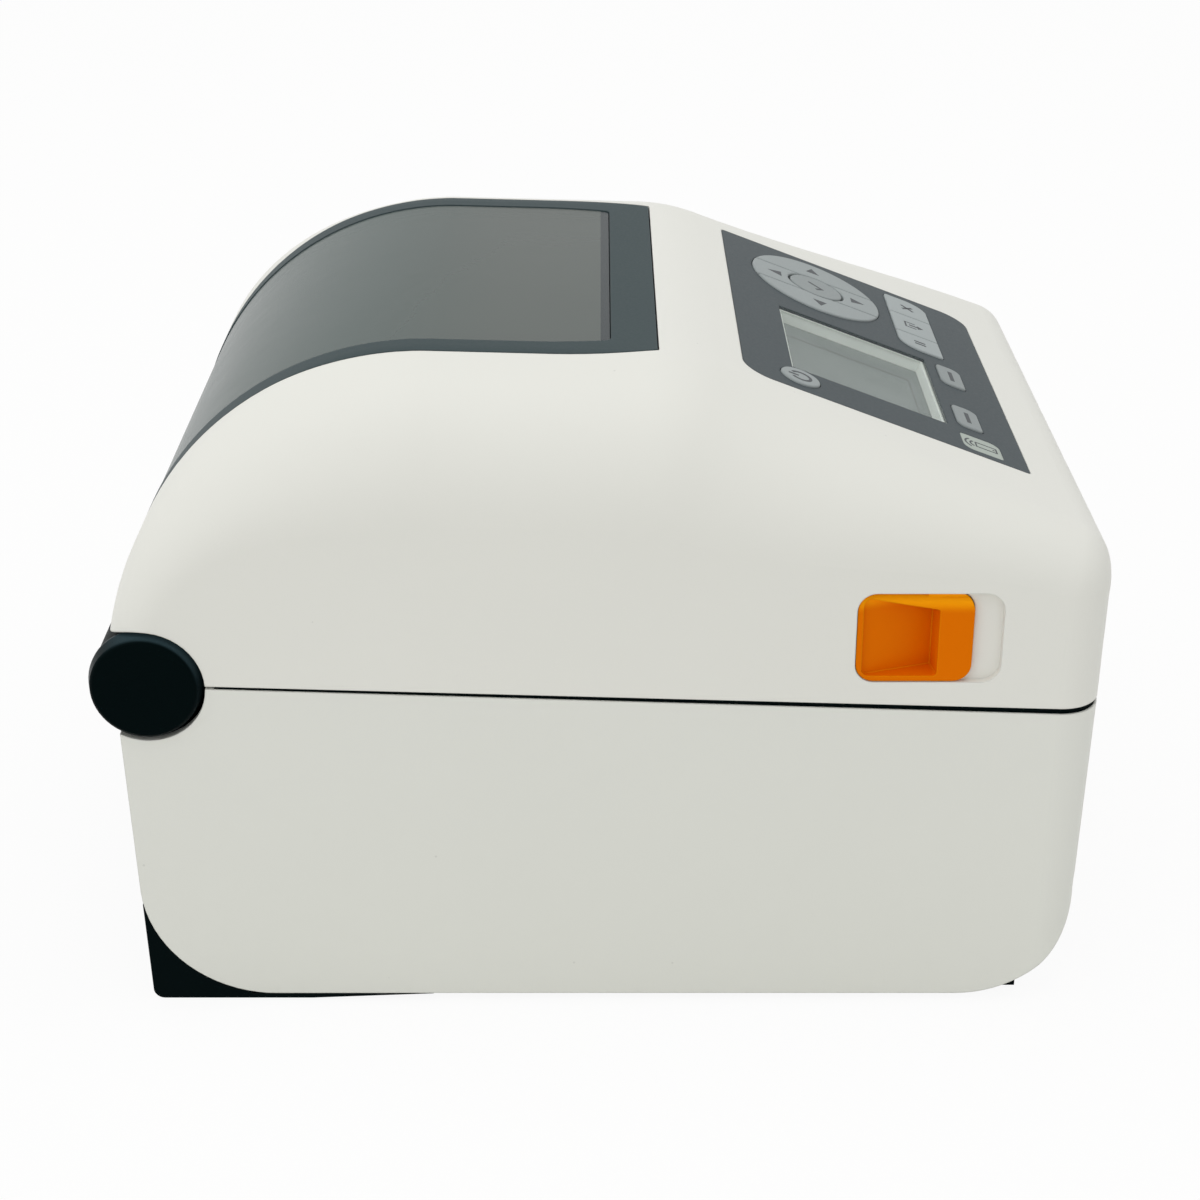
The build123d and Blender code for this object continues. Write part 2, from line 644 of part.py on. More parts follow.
with BuildPart() as base_shell:
    add(base_plan(0, BASE_REAR))
    with BuildSketch(Plane.YZ):
        with Locations((0, 60 + SKIRT)):
            Rectangle(260, 120)
        with Locations((TOE_Y - 50, TOE_Z - 50), (HEEL_Y + 50, HEEL_Z - 50)):
            Rectangle(100, 100, mode=Mode.SUBTRACT)
        with Locations((TOE_Y, TOE_Z)):
            Circle(TOE_RADIUS)
        with Locations((HEEL_Y, HEEL_Z)):
            Circle(HEEL_RADIUS)
    extrude(amount=120, both=True, mode=Mode.INTERSECT)
    add(base_cavity.part, mode=Mode.SUBTRACT)
    add(rim_ledge(0.5, 83.1, 1.6), mode=Mode.SUBTRACT)
    with BuildSketch(Plane.YZ):
        Polygon((-130, parting(-130, -1)), (130, parting(130, -1)), (130, 120), (-130, 120), align=None)
    extrude(amount=120, both=True, mode=Mode.SUBTRACT)
    rod((-120, 120), HINGE_Y, HINGE_Z, CAP_RADIUS + 0.6, Mode.SUBTRACT)
    block((-57.6, 57.6), (-120, -100), (60, 100), Mode.SUBTRACT)
    for side in (-1, 1):
        for y in (-60, 55):
            block(mirrored((76, 84), side), (y - 3.5, y + 3.5), (TRAY_FLOOR, 18))
            post(side * 79, y, (TRAY_FLOOR - 1, 16), 1.6, Mode.SUBTRACT)
save(base_shell.part, "base_shell")

# Inner rim: dark lip that closes the parting gap from inside and covers the base's ledge
with BuildPart() as rim_flange:
    add(rim_ledge(0.6, 83, 1.5))
    add(base_plan(WALL + 0.2, 140), mode=Mode.SUBTRACT)

with BuildPart() as inner_rim:
    add(base_plan(WALL, 83))
    add(base_plan(WALL + 1.7, 140), mode=Mode.SUBTRACT)
    with BuildSketch(Plane.YZ):
        Polygon((-130, parting(-130) - 6), (130, parting(130) - 6), (130, parting(130, 1) - 0.3),
                (-130, parting(-130, 1) - 0.3), align=None)
    extrude(amount=120, both=True, mode=Mode.INTERSECT)
    add(rim_flange.part)
    block((-58, 58), (-120, -95), (50, 100), Mode.SUBTRACT)
    block((GEAR_X[0] - 1.5, GEAR_X[1] + 1.5), (-107, -95), (50, 100), Mode.SUBTRACT)
save(inner_rim.part, "inner_rim")

# Bottom tray: dark floor and back wall with the outer hinge knuckles
PORTS = {
    "power_jack": (-50, 12, 12),
    "usb_device_port": (-29, 12, 11),
    "usb_host_port": (-9, 14, 7),
    "ethernet_port": (14, 16, 13.4),
    "serial_port": (45, 31, 12.4),
}
PORT_FLOOR = 8.6
PORT_FACE = 103.6
TRAY_FOOT = 0.5
SEAM = 0.2
FEET = [(x, y) for x in (-68, 68) for y in (-88, 84)]
SCREWS = [(x, y) for x in (-79, 79) for y in (-60, 55)]


def back_face(z):
    """How far rearward the tray's leaning back wall stands at a height."""
    return 102.5 + 1.6 * (z - TRAY_FOOT) / (68 - TRAY_FOOT)


with BuildPart() as heel_webs:
    with BuildSketch(Plane.YZ) as web_side:
        Polygon((38, SKIRT - SEAM), (66, TRAY_FOOT), (back_face(TRAY_FOOT), TRAY_FOOT), (back_face(34), 34),
                (80, 34), (80, SKIRT - SEAM), align=None)
        fillet(web_side.vertices().sort_by(lambda v: v.Y - v.X)[0], 2.5)
        with Locations((HEEL_Y, HEEL_Z)):
            Circle(HEEL_RADIUS + SEAM, mode=Mode.SUBTRACT)
    extrude(amount=120, both=True)
    add(base_plan(0.12, 140), mode=Mode.INTERSECT)
    add(base_plan(6, 140), mode=Mode.SUBTRACT)

with BuildPart() as bottom_tray:
    with BuildSketch(Plane.YZ) as tray_side:
        Polygon((TOE_Y + 0.3, SKIRT - SEAM), (38, SKIRT - SEAM), (66, TRAY_FOOT),
                (back_face(TRAY_FOOT), TRAY_FOOT), (back_face(68), 68), (101.6, 68), (100.1, TRAY_FLOOR),
                (TOE_Y + 0.3, TRAY_FLOOR), align=None)
        fillet(tray_side.vertices().sort_by(lambda v: v.Y - v.X)[0], 2.5)
    extrude(amount=84.4, both=True)
    with BuildSketch(Plane.XZ):
        Polygon((-82.8, 0), (82.8, 0), (84.4, 70), (-84.4, 70), align=None)
    extrude(amount=200, both=True, mode=Mode.INTERSECT)
    add(heel_webs.part)
    block((-80, 80), (-97, TOE_Y + 1.5), (0.4, SKIRT - SEAM))
    for side in (-1, 1):
        rod(mirrored((BARREL_HALF + 0.6, CAP_SEAT), side), HINGE_Y, HINGE_Z, BARREL_RADIUS)
        block(mirrored((BARREL_HALF + 0.6, CAP_SEAT), side), (90, 103.6), (58, 80))
    for x, y in SCREWS:
        post(x, y, (-1, 10), 1.8, Mode.SUBTRACT)
        post(x, y, (-1, 3.4), 3.6, Mode.SUBTRACT)
    for x, y in FEET:
        post(x, y, (-1, 1.2), 8.1, Mode.SUBTRACT)
    rod((-120, 120), HINGE_Y, HINGE_Z, PIN_RADIUS + RUNNING, Mode.SUBTRACT)
    for x, width, height in PORTS.values():
        edge = width / 2 + 0.3
        block((x - edge, x + edge), (98, 110), (PORT_FLOOR - 0.3, PORT_FLOOR + height + 0.3), Mode.SUBTRACT)
    for x in (-56, 56):
        post(x, 76, (TRAY_FLOOR - 1, 7), 3)
    for slot in range(8):
        block((-38.5 + 11 * slot, -35.5 + 11 * slot), (-76, -50), (0, 10), Mode.SUBTRACT)
save(bottom_tray.part, "bottom_tray")

with BuildPart() as rubber_feet:
    for x, y in FEET:
        post(x, y, (0, 1.2), 8)
save(rubber_feet.part, "rubber_feet")

with BuildPart() as tray_screws:
    for x, y in SCREWS:
        post(x, y, (1.9, 3.4), 3.2)
        post(x, y, (3.4, 15), 1.55)
        block((x - 2.2, x + 2.2), (y - 0.4, y + 0.4), (1, 2.6), Mode.SUBTRACT)
save(tray_screws.part, "tray_screws")

# Hinge pin and end caps
with BuildPart() as hinge_pin:
    rod((-86, 86), HINGE_Y, HINGE_Z, PIN_RADIUS)
save(hinge_pin.part, "hinge_pin")

with BuildPart() as hinge_caps:
    for side in (-1, 1):
        rod(mirrored((CAP_SEAT, CAP_SEAT + 0.8), side), HINGE_Y, HINGE_Z, CAP_RADIUS)
        length = CAP_FACE - CAP_SEAT - 0.8
        with Locations(Location((side * (CAP_FACE - length / 2), HINGE_Y, HINGE_Z), (0, side * 90, 0))):
            Cone(CAP_RADIUS, CAP_RADIUS - 0.9, length)
    for face in (hinge_caps.faces().sort_by(Axis.X)[0], hinge_caps.faces().sort_by(Axis.X)[-1]):
        chamfer(face.edges(), 0.5)
    rod((-86.4, 86.4), HINGE_Y, HINGE_Z, PIN_RADIUS + RUNNING, Mode.SUBTRACT)
save(hinge_caps.part, "hinge_caps")

# Connector board and its sockets
with BuildPart() as port_board:
    block((-62, 62), (72, 100), (7, PORT_FLOOR))
save(port_board.part, "port_board")


def shelled_port(label, depth, opening, lift, tongue):
    """A socket body with a mouth facing rearward and a tongue inside it."""
    x, width, height = PORTS[label]
    middle = PORT_FLOOR + lift
    with BuildPart() as socket:
        block((x - width / 2, x + width / 2), (PORT_FACE - depth, PORT_FACE), (PORT_FLOOR, PORT_FLOOR + height))
        block((x - opening[0] / 2, x + opening[0] / 2), (PORT_FACE + 2.8 - depth, 110),
              (middle - opening[1] / 2, middle + opening[1] / 2), Mode.SUBTRACT)
        block((x - tongue[0] / 2, x + tongue[0] / 2), (PORT_FACE + 1.8 - depth, PORT_FACE - 1.7),
              (middle + tongue[1], middle + tongue[2]))
    save(socket.part, label)


shelled_port("usb_device_port", 16, (8.5, 7.8), 5.5, (5.6, -1.5, 1.5))
shelled_port("usb_host_port", 14, (12.4, 5.2), 3.5, (11, 0.4, 2.0))
shelled_port("ethernet_port", 18, (11.8, 8.6), 6.2, (9.6, 3.4, 4.3))

with BuildPart() as power_jack:
    x, width, height = PORTS["power_jack"]
    block((x - width / 2, x + width / 2), (90.4, PORT_FACE), (PORT_FLOOR, PORT_FLOOR + height))
    with Locations(Location((x, PORT_FACE - 4.6, PORT_FLOOR + 6.2), (90, 0, 0))):
        Cylinder(3.4, 9.6, mode=Mode.SUBTRACT)
    with Locations(Location((x, PORT_FACE - 5.2, PORT_FLOOR + 6.2), (90, 0, 0))):
        Cylinder(1.1, 9)
save(power_jack.part, "power_jack")

with BuildPart() as serial_port:
    x, width, height = PORTS["serial_port"]
    middle = PORT_FLOOR + height / 2
    block((x - width / 2, x + width / 2), (93.4, PORT_FACE), (PORT_FLOOR, PORT_FLOOR + height))
    with BuildSketch(Plane.XZ.offset(-PORT_FACE)) as shroud:
        with Locations((x, middle)):
            Trapezoid(17.6, 8.6, 80)
        fillet(shroud.vertices(), 1.8)
        offset(amount=-0.6, mode=Mode.SUBTRACT)
    extrude(amount=-5.4)
    for row, count in ((1.4, 5), (-1.4, 4)):
        for pin in range(count):
            place = x + 2.75 * (pin - (count - 1) / 2)
            block((place - 0.45, place + 0.45), (PORT_FACE - 0.2, PORT_FACE + 4.2),
                  (middle + row - 0.45, middle + row + 0.45))
    for side in (-1, 1):
        with Locations(Location((x + side * 12.5, PORT_FACE + 0.8, middle), (90, 0, 0))):
            Cylinder(2.6, 2.4)
            Cylinder(1.3, 4, mode=Mode.SUBTRACT)
save(serial_port.part, "serial_port")

# Media tub: roll well, deck, bearing cheeks and the axles it carries
IDLER_REACH = MODULE * (PLATEN_TEETH + IDLER_TEETH) / 2 + MESH_EASE
PINION_REACH = MODULE * (PINION_TEETH + IDLER_TEETH) / 2 + MESH_EASE
SPAN = hypot(MOTOR_Y - PLATEN_Y, MOTOR_Z - PLATEN_Z)
AIM = degrees(atan2(MOTOR_Z - PLATEN_Z, MOTOR_Y - PLATEN_Y))
SWING = degrees(acos((IDLER_REACH**2 + SPAN**2 - PINION_REACH**2) / (2 * IDLER_REACH * SPAN)))
IDLER_Y, IDLER_Z = polar(PLATEN_Y, PLATEN_Z, IDLER_REACH, AIM - SWING)
TO_IDLER = AIM - SWING
TO_PINION = degrees(atan2(MOTOR_Z - IDLER_Z, MOTOR_Y - IDLER_Y))
SIDE_TOP = -1.2

with BuildPart() as media_tub:
    for side in (-1, 1):
        with BuildSketch(Plane.YZ.offset(side * TUB_HALF)):
            Polygon((-84, TRAY_FLOOR), (88, TRAY_FLOOR), (88, parting(88) + SIDE_TOP),
                    (-84, parting(-84) + SIDE_TOP), align=None)
        extrude(amount=side * 2.5)
    with BuildSketch(Plane.YZ):
        with Locations((ROLL_Y, ROLL_Z)):
            Circle(WELL_RADIUS + 2.5)
            Circle(WELL_RADIUS, mode=Mode.SUBTRACT)
        with Locations((ROLL_Y, 120)):
            Rectangle(160, 2 * (120 - DECK), mode=Mode.SUBTRACT)
    extrude(amount=TUB_HALF + 1, both=True)
    block((-63, 63), (-84, -43.2), (DECK - 2.5, DECK))
    block((-63, 63), (-84, -81.5), (TRAY_FLOOR, DECK))
    block((-53, 53), (-83.9, -82.3), (DECK - 1, 73))
    block((-40, 40), (12, 32), (TRAY_FLOOR, 8.2))
    rod((-120, 120), HINGE_Y, HINGE_Z, BARREL_RADIUS + 0.8, Mode.SUBTRACT)
    for side in (-1, 1):
        block(mirrored((57.5, 61.0), side), (-103, -83), (40, 74))
        rod(mirrored((57, 61.5), side), PLATEN_Y, PLATEN_Z, 6.05, Mode.SUBTRACT)
        block(mirrored((57, 61.5), side), (PLATEN_Y - 6.05, PLATEN_Y + 6.05), (PLATEN_Z, 80), Mode.SUBTRACT)
        block(mirrored((TUB_HALF + 1, 76.5), side), (STEM_Y[1] + 3.4, STEM_Y[1] + 10), (74, 76.4))
    block((-60.2, -6.5), (-71, -68), (60, 70), Mode.SUBTRACT)
    block((6.5, 60.2), (-52, -49), (60, 70), Mode.SUBTRACT)
    block((-52, 52), (-79, -75), (60, 70), Mode.SUBTRACT)
    post(0, RACK_Y, (56, DECK - 1), 2)
    rod((TUB_HALF + 1, GEAR_X[1] + 0.5), IDLER_Y, IDLER_Z, 3.0)
    rod((TUB_HALF + 1, GEAR_X[0] - 0.4), IDLER_Y, IDLER_Z, 6.0)
    rod((61, 66), MOTOR_Y, MOTOR_Z, 8.2, Mode.SUBTRACT)
    for y, z in ((-70, 30), (-70, 60), (50, 30), (50, 60)):
        rod((-80, -TUB_HALF - 1), y, z, 2.5)
save(media_tub.part, "media_tub")

with BuildPart() as main_board:
    block((-81.6, -80), (-76, 56), (24, 66))
    block((-80, -77.4), (-40, -16), (34, 56))
    block((-80, -77.8), (-4, 12), (36, 46))
    block((-80, -78.2), (20, 40), (48, 60))
    block((-80, -74), (20, 36), (28, 34))
save(main_board.part, "main_board")

# Drive: stepper, pinion, idler and the rubber platen
with BuildPart() as drive_motor:
    with BuildSketch(Plane.YZ.offset(TUB_HALF)):
        with Locations((MOTOR_Y, MOTOR_Z)):
            RectangleRounded(35, 35, 4)
    extrude(amount=-30)
    rod((TUB_HALF - 1, TUB_HALF + 2.4), MOTOR_Y, MOTOR_Z, 8)
    rod((40, 80), MOTOR_Y, MOTOR_Z, 2.5 + RUNNING, Mode.SUBTRACT)
save(drive_motor.part, "drive_motor")

with BuildPart() as motor_shaft:
    rod((40.5, GEAR_X[1] + 1), MOTOR_Y, MOTOR_Z, 2.5)
save(motor_shaft.part, "motor_shaft")

IDLER_PHASE = TO_IDLER + 180 + 180 / IDLER_TEETH
DRIFT = (IDLER_PHASE - TO_PINION) % (360 / IDLER_TEETH)
PINION_PHASE = TO_PINION + 180 + 180 / PINION_TEETH - DRIFT * IDLER_TEETH / PINION_TEETH
TRAIN = {
    "platen_gear": (PLATEN_TEETH, PLATEN_Y, PLATEN_Z, TO_IDLER, PIN_RADIUS),
    "idler_gear": (IDLER_TEETH, IDLER_Y, IDLER_Z, IDLER_PHASE, PIN_RADIUS + RUNNING),
    "motor_pinion": (PINION_TEETH, MOTOR_Y, MOTOR_Z, PINION_PHASE, 2.5),
}
for label, (teeth, y, z, phase, bore) in TRAIN.items():
    with BuildPart() as gear:
        with BuildSketch(Plane.YZ.offset(GEAR_X[0])):
            add(gear_sketch(teeth, phase).moved(Location((y, z, 0))))
        extrude(amount=GEAR_X[1] - GEAR_X[0])
        rod((60, 90), y, z, bore, Mode.SUBTRACT)
        if label == "idler_gear":
            for hole in range(6):
                rod((60, 90), *polar(y, z, 10.5, 60 * hole), 3.4, Mode.SUBTRACT)
    save(gear.part, label)

with BuildPart() as platen_roller:
    rod((-53, 53), PLATEN_Y, PLATEN_Z, PLATEN_RADIUS)
    rod((-60, 60), PLATEN_Y, PLATEN_Z, PIN_RADIUS, Mode.SUBTRACT)
save(platen_roller.part, "platen_roller")

with BuildPart() as platen_shaft:
    rod((-63.5, GEAR_X[1] + 1), PLATEN_Y, PLATEN_Z, PIN_RADIUS)
save(platen_shaft.part, "platen_shaft")

with BuildPart() as platen_bearings:
    for side in (-1, 1):
        rod(mirrored((57.5, 61.0), side), PLATEN_Y, PLATEN_Z, 6.0)
        rod(mirrored((61.0, 62.0), side), PLATEN_Y, PLATEN_Z, 7.4)
    rod((-80, 80), PLATEN_Y, PLATEN_Z, PIN_RADIUS + RUNNING, Mode.SUBTRACT)
save(platen_bearings.part, "platen_bearings")

# Front bezel under the label exit
with BuildPart() as front_bezel:
    with BuildSketch(Plane.YZ):
        Polygon((-109.3, 60.2), (-109.3, 71.6), (-108.2, 73), (-102.4, 73), (-102.4, 66), (-105, 60.2),
                align=None)
    extrude(amount=57.3, both=True)
save(front_bezel.part, "front_bezel")

# Roll holders: hubs on sliding arms, timed by racks on one pinion
RACK_PITCH = pi * MODULE
RACK_REACH = MODULE * RACK_TEETH / 2 + MESH_EASE


def rack_sketch(side):
    """Rack outline on the XY plane with a tooth space facing the pinion at X = 0."""
    face = RACK_Y + side * RACK_REACH
    root = face + side * 1.15
    tip = face - side * 0.9
    back = face + side * 5.2
    points = [(side * 57, back), (side * 57, root)]
    for tooth in range(17, -3, -1):
        middle = side * (tooth + 0.5) * RACK_PITCH
        for shift, level in ((1.0, root), (0.3, tip), (-0.3, tip), (-1.0, root)):
            points.append((middle + side * shift, level))
    points.append((side * -9.5, root))
    points.append((side * -9.5, back))
    with BuildSketch() as shape:
        Polygon(*points, align=None)
    return shape.sketch


for side, label, slot in ((-1, "left", (-70.7, -68.3)), (1, "right", (-51.7, -49.3))):
    with BuildPart() as holder:
        with BuildSketch(Plane.YZ.offset(side * HOLDER_OUT)):
            with BuildLine():
                Polyline((-73, 69), (-46, 69), (ROLL_Y - 8, 62.6))
                Line((ROLL_Y - 8, 62.6), (ROLL_Y, 62.6))
                Line((ROLL_Y, 62.6), (ROLL_Y, 90))
                Polyline((ROLL_Y, 90), (ROLL_Y - 8, 90), (-60, 77), (-73, 74), (-73, 69))
            make_face()
            with Locations((ROLL_Y, ROLL_Z)):
                Circle(17)
        extrude(amount=-side * HOLDER_PLATE)
        inner = HOLDER_OUT - HOLDER_PLATE
        with BuildSketch(Plane.YZ.offset(side * inner)):
            with Locations((ROLL_Y, ROLL_Z)):
                Circle(12)
        extrude(amount=-side * 9, taper=16)
        rod(mirrored((40, 70), side), ROLL_Y, ROLL_Z, 5, Mode.SUBTRACT)
        block(mirrored((51.5, HOLDER_OUT), side), slot, (61, 69.4))
        block(mirrored((51.5, HOLDER_OUT), side), (slot[0] - 2, slot[1] + 3), (68.6, 74))
        with BuildSketch(Plane.XY.offset(57)):
            add(rack_sketch(side))
        extrude(amount=4.6)
    save(holder.part, "roll_holder_" + label)

with BuildPart() as holder_pinion:
    with BuildSketch(Plane.XY.offset(57)):
        add(gear_sketch(RACK_TEETH, 90).moved(Location((0, RACK_Y, 0))))
        with Locations((0, RACK_Y)):
            Circle(2 + RUNNING, mode=Mode.SUBTRACT)
    extrude(amount=4.6)
save(holder_pinion.part, "holder_pinion")

# Movable media sensor on the deck
with BuildPart() as media_sensor:
    block((-6, 6), (-80.5, -73.5), (68.3, 72))
    block((-4, 4), (-78.7, -75.3), (62, 69))
    block((-5, 5), (-80.2, -73.8), (61, 63))
    with Locations((0, -77, 72)):
        Cylinder(1.5, 1.2, mode=Mode.SUBTRACT)
save(media_sensor.part, "media_sensor")
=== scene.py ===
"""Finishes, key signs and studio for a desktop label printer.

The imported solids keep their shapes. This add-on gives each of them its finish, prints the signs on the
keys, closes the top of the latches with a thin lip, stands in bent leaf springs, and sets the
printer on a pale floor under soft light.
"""
import json
import math

import bmesh
import bpy
from bpy.props import FloatProperty, FloatVectorProperty, PointerProperty
from mathutils import Matrix, Vector

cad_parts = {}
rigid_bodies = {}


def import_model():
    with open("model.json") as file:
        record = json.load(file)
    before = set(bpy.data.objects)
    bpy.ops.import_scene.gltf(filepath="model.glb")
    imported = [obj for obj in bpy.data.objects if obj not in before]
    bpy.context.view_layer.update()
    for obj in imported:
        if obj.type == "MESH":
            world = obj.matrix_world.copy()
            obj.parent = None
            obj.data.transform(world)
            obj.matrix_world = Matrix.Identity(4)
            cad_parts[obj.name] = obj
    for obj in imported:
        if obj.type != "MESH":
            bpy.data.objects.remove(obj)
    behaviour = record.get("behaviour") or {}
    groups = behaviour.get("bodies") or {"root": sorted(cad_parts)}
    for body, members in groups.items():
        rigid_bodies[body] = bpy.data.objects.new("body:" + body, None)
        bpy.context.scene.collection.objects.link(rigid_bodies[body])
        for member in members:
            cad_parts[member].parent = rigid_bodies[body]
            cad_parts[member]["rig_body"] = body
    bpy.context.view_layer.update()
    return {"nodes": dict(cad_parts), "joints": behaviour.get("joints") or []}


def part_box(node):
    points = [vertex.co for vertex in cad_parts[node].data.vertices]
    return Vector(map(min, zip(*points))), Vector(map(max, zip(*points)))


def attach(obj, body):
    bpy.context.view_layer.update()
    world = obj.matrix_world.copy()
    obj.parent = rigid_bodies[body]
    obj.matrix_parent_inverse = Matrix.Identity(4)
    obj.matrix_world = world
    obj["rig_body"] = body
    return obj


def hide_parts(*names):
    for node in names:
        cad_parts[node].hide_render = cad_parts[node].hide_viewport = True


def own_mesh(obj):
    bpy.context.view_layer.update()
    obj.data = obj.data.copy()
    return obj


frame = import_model()
NODES = frame["nodes"]

bl_info = {
    "name": "Label Printer Looks",
    "version": (1, 0, 0),
    "blender": (4, 5, 0),
    "location": "View3D > Sidebar > Printer",
    "description": "Finishes, key signs and studio for a desktop label printer",
    "category": "Object",
}

MM = 0.001
UP, BACK = (0, 0, 1), (0, 1, 0)
WHITE = (1, 1, 1, 1)

# Latches: corner of the outline, depth of the front flap, reach of the lip behind it, and where the
# painted highlight near the rounded top starts and is full, below the top
LATCHES = ("latch_left", "latch_right")
LATCH_CORNER = 3.9 * MM
FLAP_DEPTH = 1.25 * MM
CREST_LENGTH = 10 * MM
CROWN_HIGHLIGHT = (4.6 * MM, 1.4 * MM)

# Display: half widths of its outline beside the border and along the sill, and spacing of its dots
STILE_HALF = 0.5 * MM
RAIL_HALF = 0.2 * MM
DOT_PITCH = 0.42 * MM
DOT_GAP = 0.14

# Studio: width and place of each lamp, and the point that they look at
OVERHEAD_LAMP = (1.3, (-0.15, 0.15, 1.5))
SIDE_LAMP = (0.8, (-1.1, 0.75, 0.7))
LAMP_AIM = (0, 0, 0.08)
FLOOR_WHITE = 0.92

KEYS = sorted(name for name in NODES if name.startswith("key_") and name != "key_switches")
# Keys given a darker copy of the key grey as painted shade, and keys given a lighter copy as painted light
DISHED_KEYS = ("key_select", "key_soft_left", "key_soft_right")
ROW_KEYS = ("key_pause", "key_feed", "key_cancel")


def shade(red, green, blue):
    """Scene colour of a shade written in display steps from 0 to 255."""
    steps = [value / 255 for value in (red, green, blue)]
    return tuple(v / 12.92 if v <= 0.04045 else ((v + 0.055) / 1.055) ** 2.4 for v in steps)


def colour_of(label, about, red, green, blue):
    """A colour setting."""
    return FloatVectorProperty(name=label, description=about, subtype="COLOR", size=3, min=0, max=1,
                               default=shade(red, green, blue))


def size_of(label, about, metres):
    """A length setting."""
    return FloatProperty(name=label, description=about, unit="LENGTH", min=0, default=metres, precision=5)


def share_of(label, about, value):
    """A setting between nothing and all."""
    return FloatProperty(name=label, description=about, subtype="FACTOR", min=0, max=1, default=value)


def amount_of(label, about, value, **kind):
    """A setting that is a plain number, or a measure of some kind."""
    return FloatProperty(name=label, description=about, min=0, default=value, **kind)


class HousingSettings(bpy.types.PropertyGroup):
    cover: colour_of("Cover", "Warm white of the clamshell", 229, 229, 222)
    base: colour_of("Base", "Slightly deeper white of the lower housing", 226, 227, 220)
    grain: size_of("Grain", "Spacing of the moulded spark grain", 0.7 * MM)
    depth: size_of("Grain depth", "Height of the moulded grain", 0.012 * MM)
    edge: size_of("Edge rounding", "Radius that moulded edges catch the light with", 0.5 * MM)
    gloss: share_of("Roughness", "Roughness of the white plastic", 0.5)


class TrimSettings(bpy.types.PropertyGroup):
    frame: colour_of("Window frame", "Slate grey of the window surround", 63, 75, 77)
    pane: colour_of("Pane", "Smoked tint of the window", 90, 97, 93)
    bevel: size_of("Pane bevel", "Width of the bevel along the pane's front edge", 2.0 * MM)
    solid: share_of("Pane strength", "How much of the light each face of the pane holds back", 0.86)
    cap: colour_of("Hinge caps", "Blue black of the hinge end caps", 1, 10, 11)
    # painted highlight on the upper side of the caps' rims
    cap_rim_highlight: colour_of("Cap rims", "Greyer tone on the upper side of the caps' rims", 52, 70, 76)
    # the inner rim's charcoal also stands for painted shade in the parting gap
    tray: colour_of("Tray", "Charcoal of the floor tray and inner rim", 2, 11, 12)
    barrel: colour_of("Barrel", "Charcoal of the inner cover frame and its barrel", 68, 72, 78)
    latch: colour_of("Latches", "Orange of the side latches", 226, 113, 0)
    # painted highlight: the brighter orange laid on the latches' tops and edges
    latch_highlight: colour_of("Latch edges", "Brighter orange along the latches' crowns and edges", 255, 164, 10)
    # edges lighter by rubbing and by a painted highlight
    edge_wear_and_highlight: share_of("Rubbed edges", "How much lighter edges are worn", 0.12)
    crest: size_of("Latch crest", "Thickness of the lip behind a latch's front flap", 0.26 * MM)


class PanelSettings(bpy.types.PropertyGroup):
    plate: colour_of("Plate", "Slate blue of the control panel", 72, 80, 83)
    keys: colour_of("Keys", "Pale grey of the keys", 152, 159, 159)
    ink: colour_of("Signs", "Dark print on the keys", 52, 58, 62)
    display: colour_of("Display", "Grey green of the resting display", 92, 105, 101)
    well: colour_of("Display well", "Pale walls round the display", 240, 245, 238)
    tag: colour_of("Tag", "Pale plate in the panel's corner", 168, 177, 169)
    border: size_of("Display border", "Width of the darker band along the display's right side", 9.3 * MM)
    sill: size_of("Display sill", "Width of the darker band along the display's lower side", 3.2 * MM)
    print_height: size_of("Print height", "How far the print stands on a key", 0.03 * MM)
    stroke: size_of("Stroke", "Width of the drawn lines of a sign", 0.8 * MM)


class InsideSettings(bpy.types.PropertyGroup):
    tub: colour_of("Tub", "Charcoal of the roll well and deck", 58, 62, 65)
    holder: colour_of("Holders", "Grey of the roll holders", 96, 104, 108)
    rubber: colour_of("Rubber", "Black of the platen and feet", 24, 24, 25)
    steel: colour_of("Steel", "Bare steel of pins, bars and springs", 176, 178, 180)
    alloy: colour_of("Alloy", "Cast alloy of the print head", 188, 190, 192)
    nylon: colour_of("Nylon", "Natural nylon of the gears", 214, 210, 196)
    brass: colour_of("Brass", "Brass of the motor pinion", 200, 164, 96)
    mask: colour_of("Solder mask", "Green of the circuit boards", 24, 92, 58)
    strip: size_of("Spring strip", "Thickness of the leaf springs over the print head", 0.5 * MM)
    leaf: size_of("Spring width", "Width of the leaf springs over the print head", 8.0 * MM)


class StudioSettings(bpy.types.PropertyGroup):
    floor: colour_of("Floor", "Pale floor", 238, 238, 236)
    floor_size: size_of("Floor size", "Half width of the floor", 6.0)
    sky: amount_of("Sky", "Strength of the even light from all round", 0.76)
    overhead: amount_of("Overhead", "Power of the wide light above", 5.4, unit="POWER")
    side: amount_of("Side", "Power of the fill beside the camera", 1.6, unit="POWER")
    eye: FloatVectorProperty(name="Camera", description="Place of the camera", subtype="TRANSLATION",
                             default=(-0.541917, -0.000411, 0.314139))
    tilt: amount_of("Tilt", "How far the camera looks down", math.radians(24.9316), subtype="ANGLE")
    lens: amount_of("Lens", "Focal length in millimetres", 70.866)


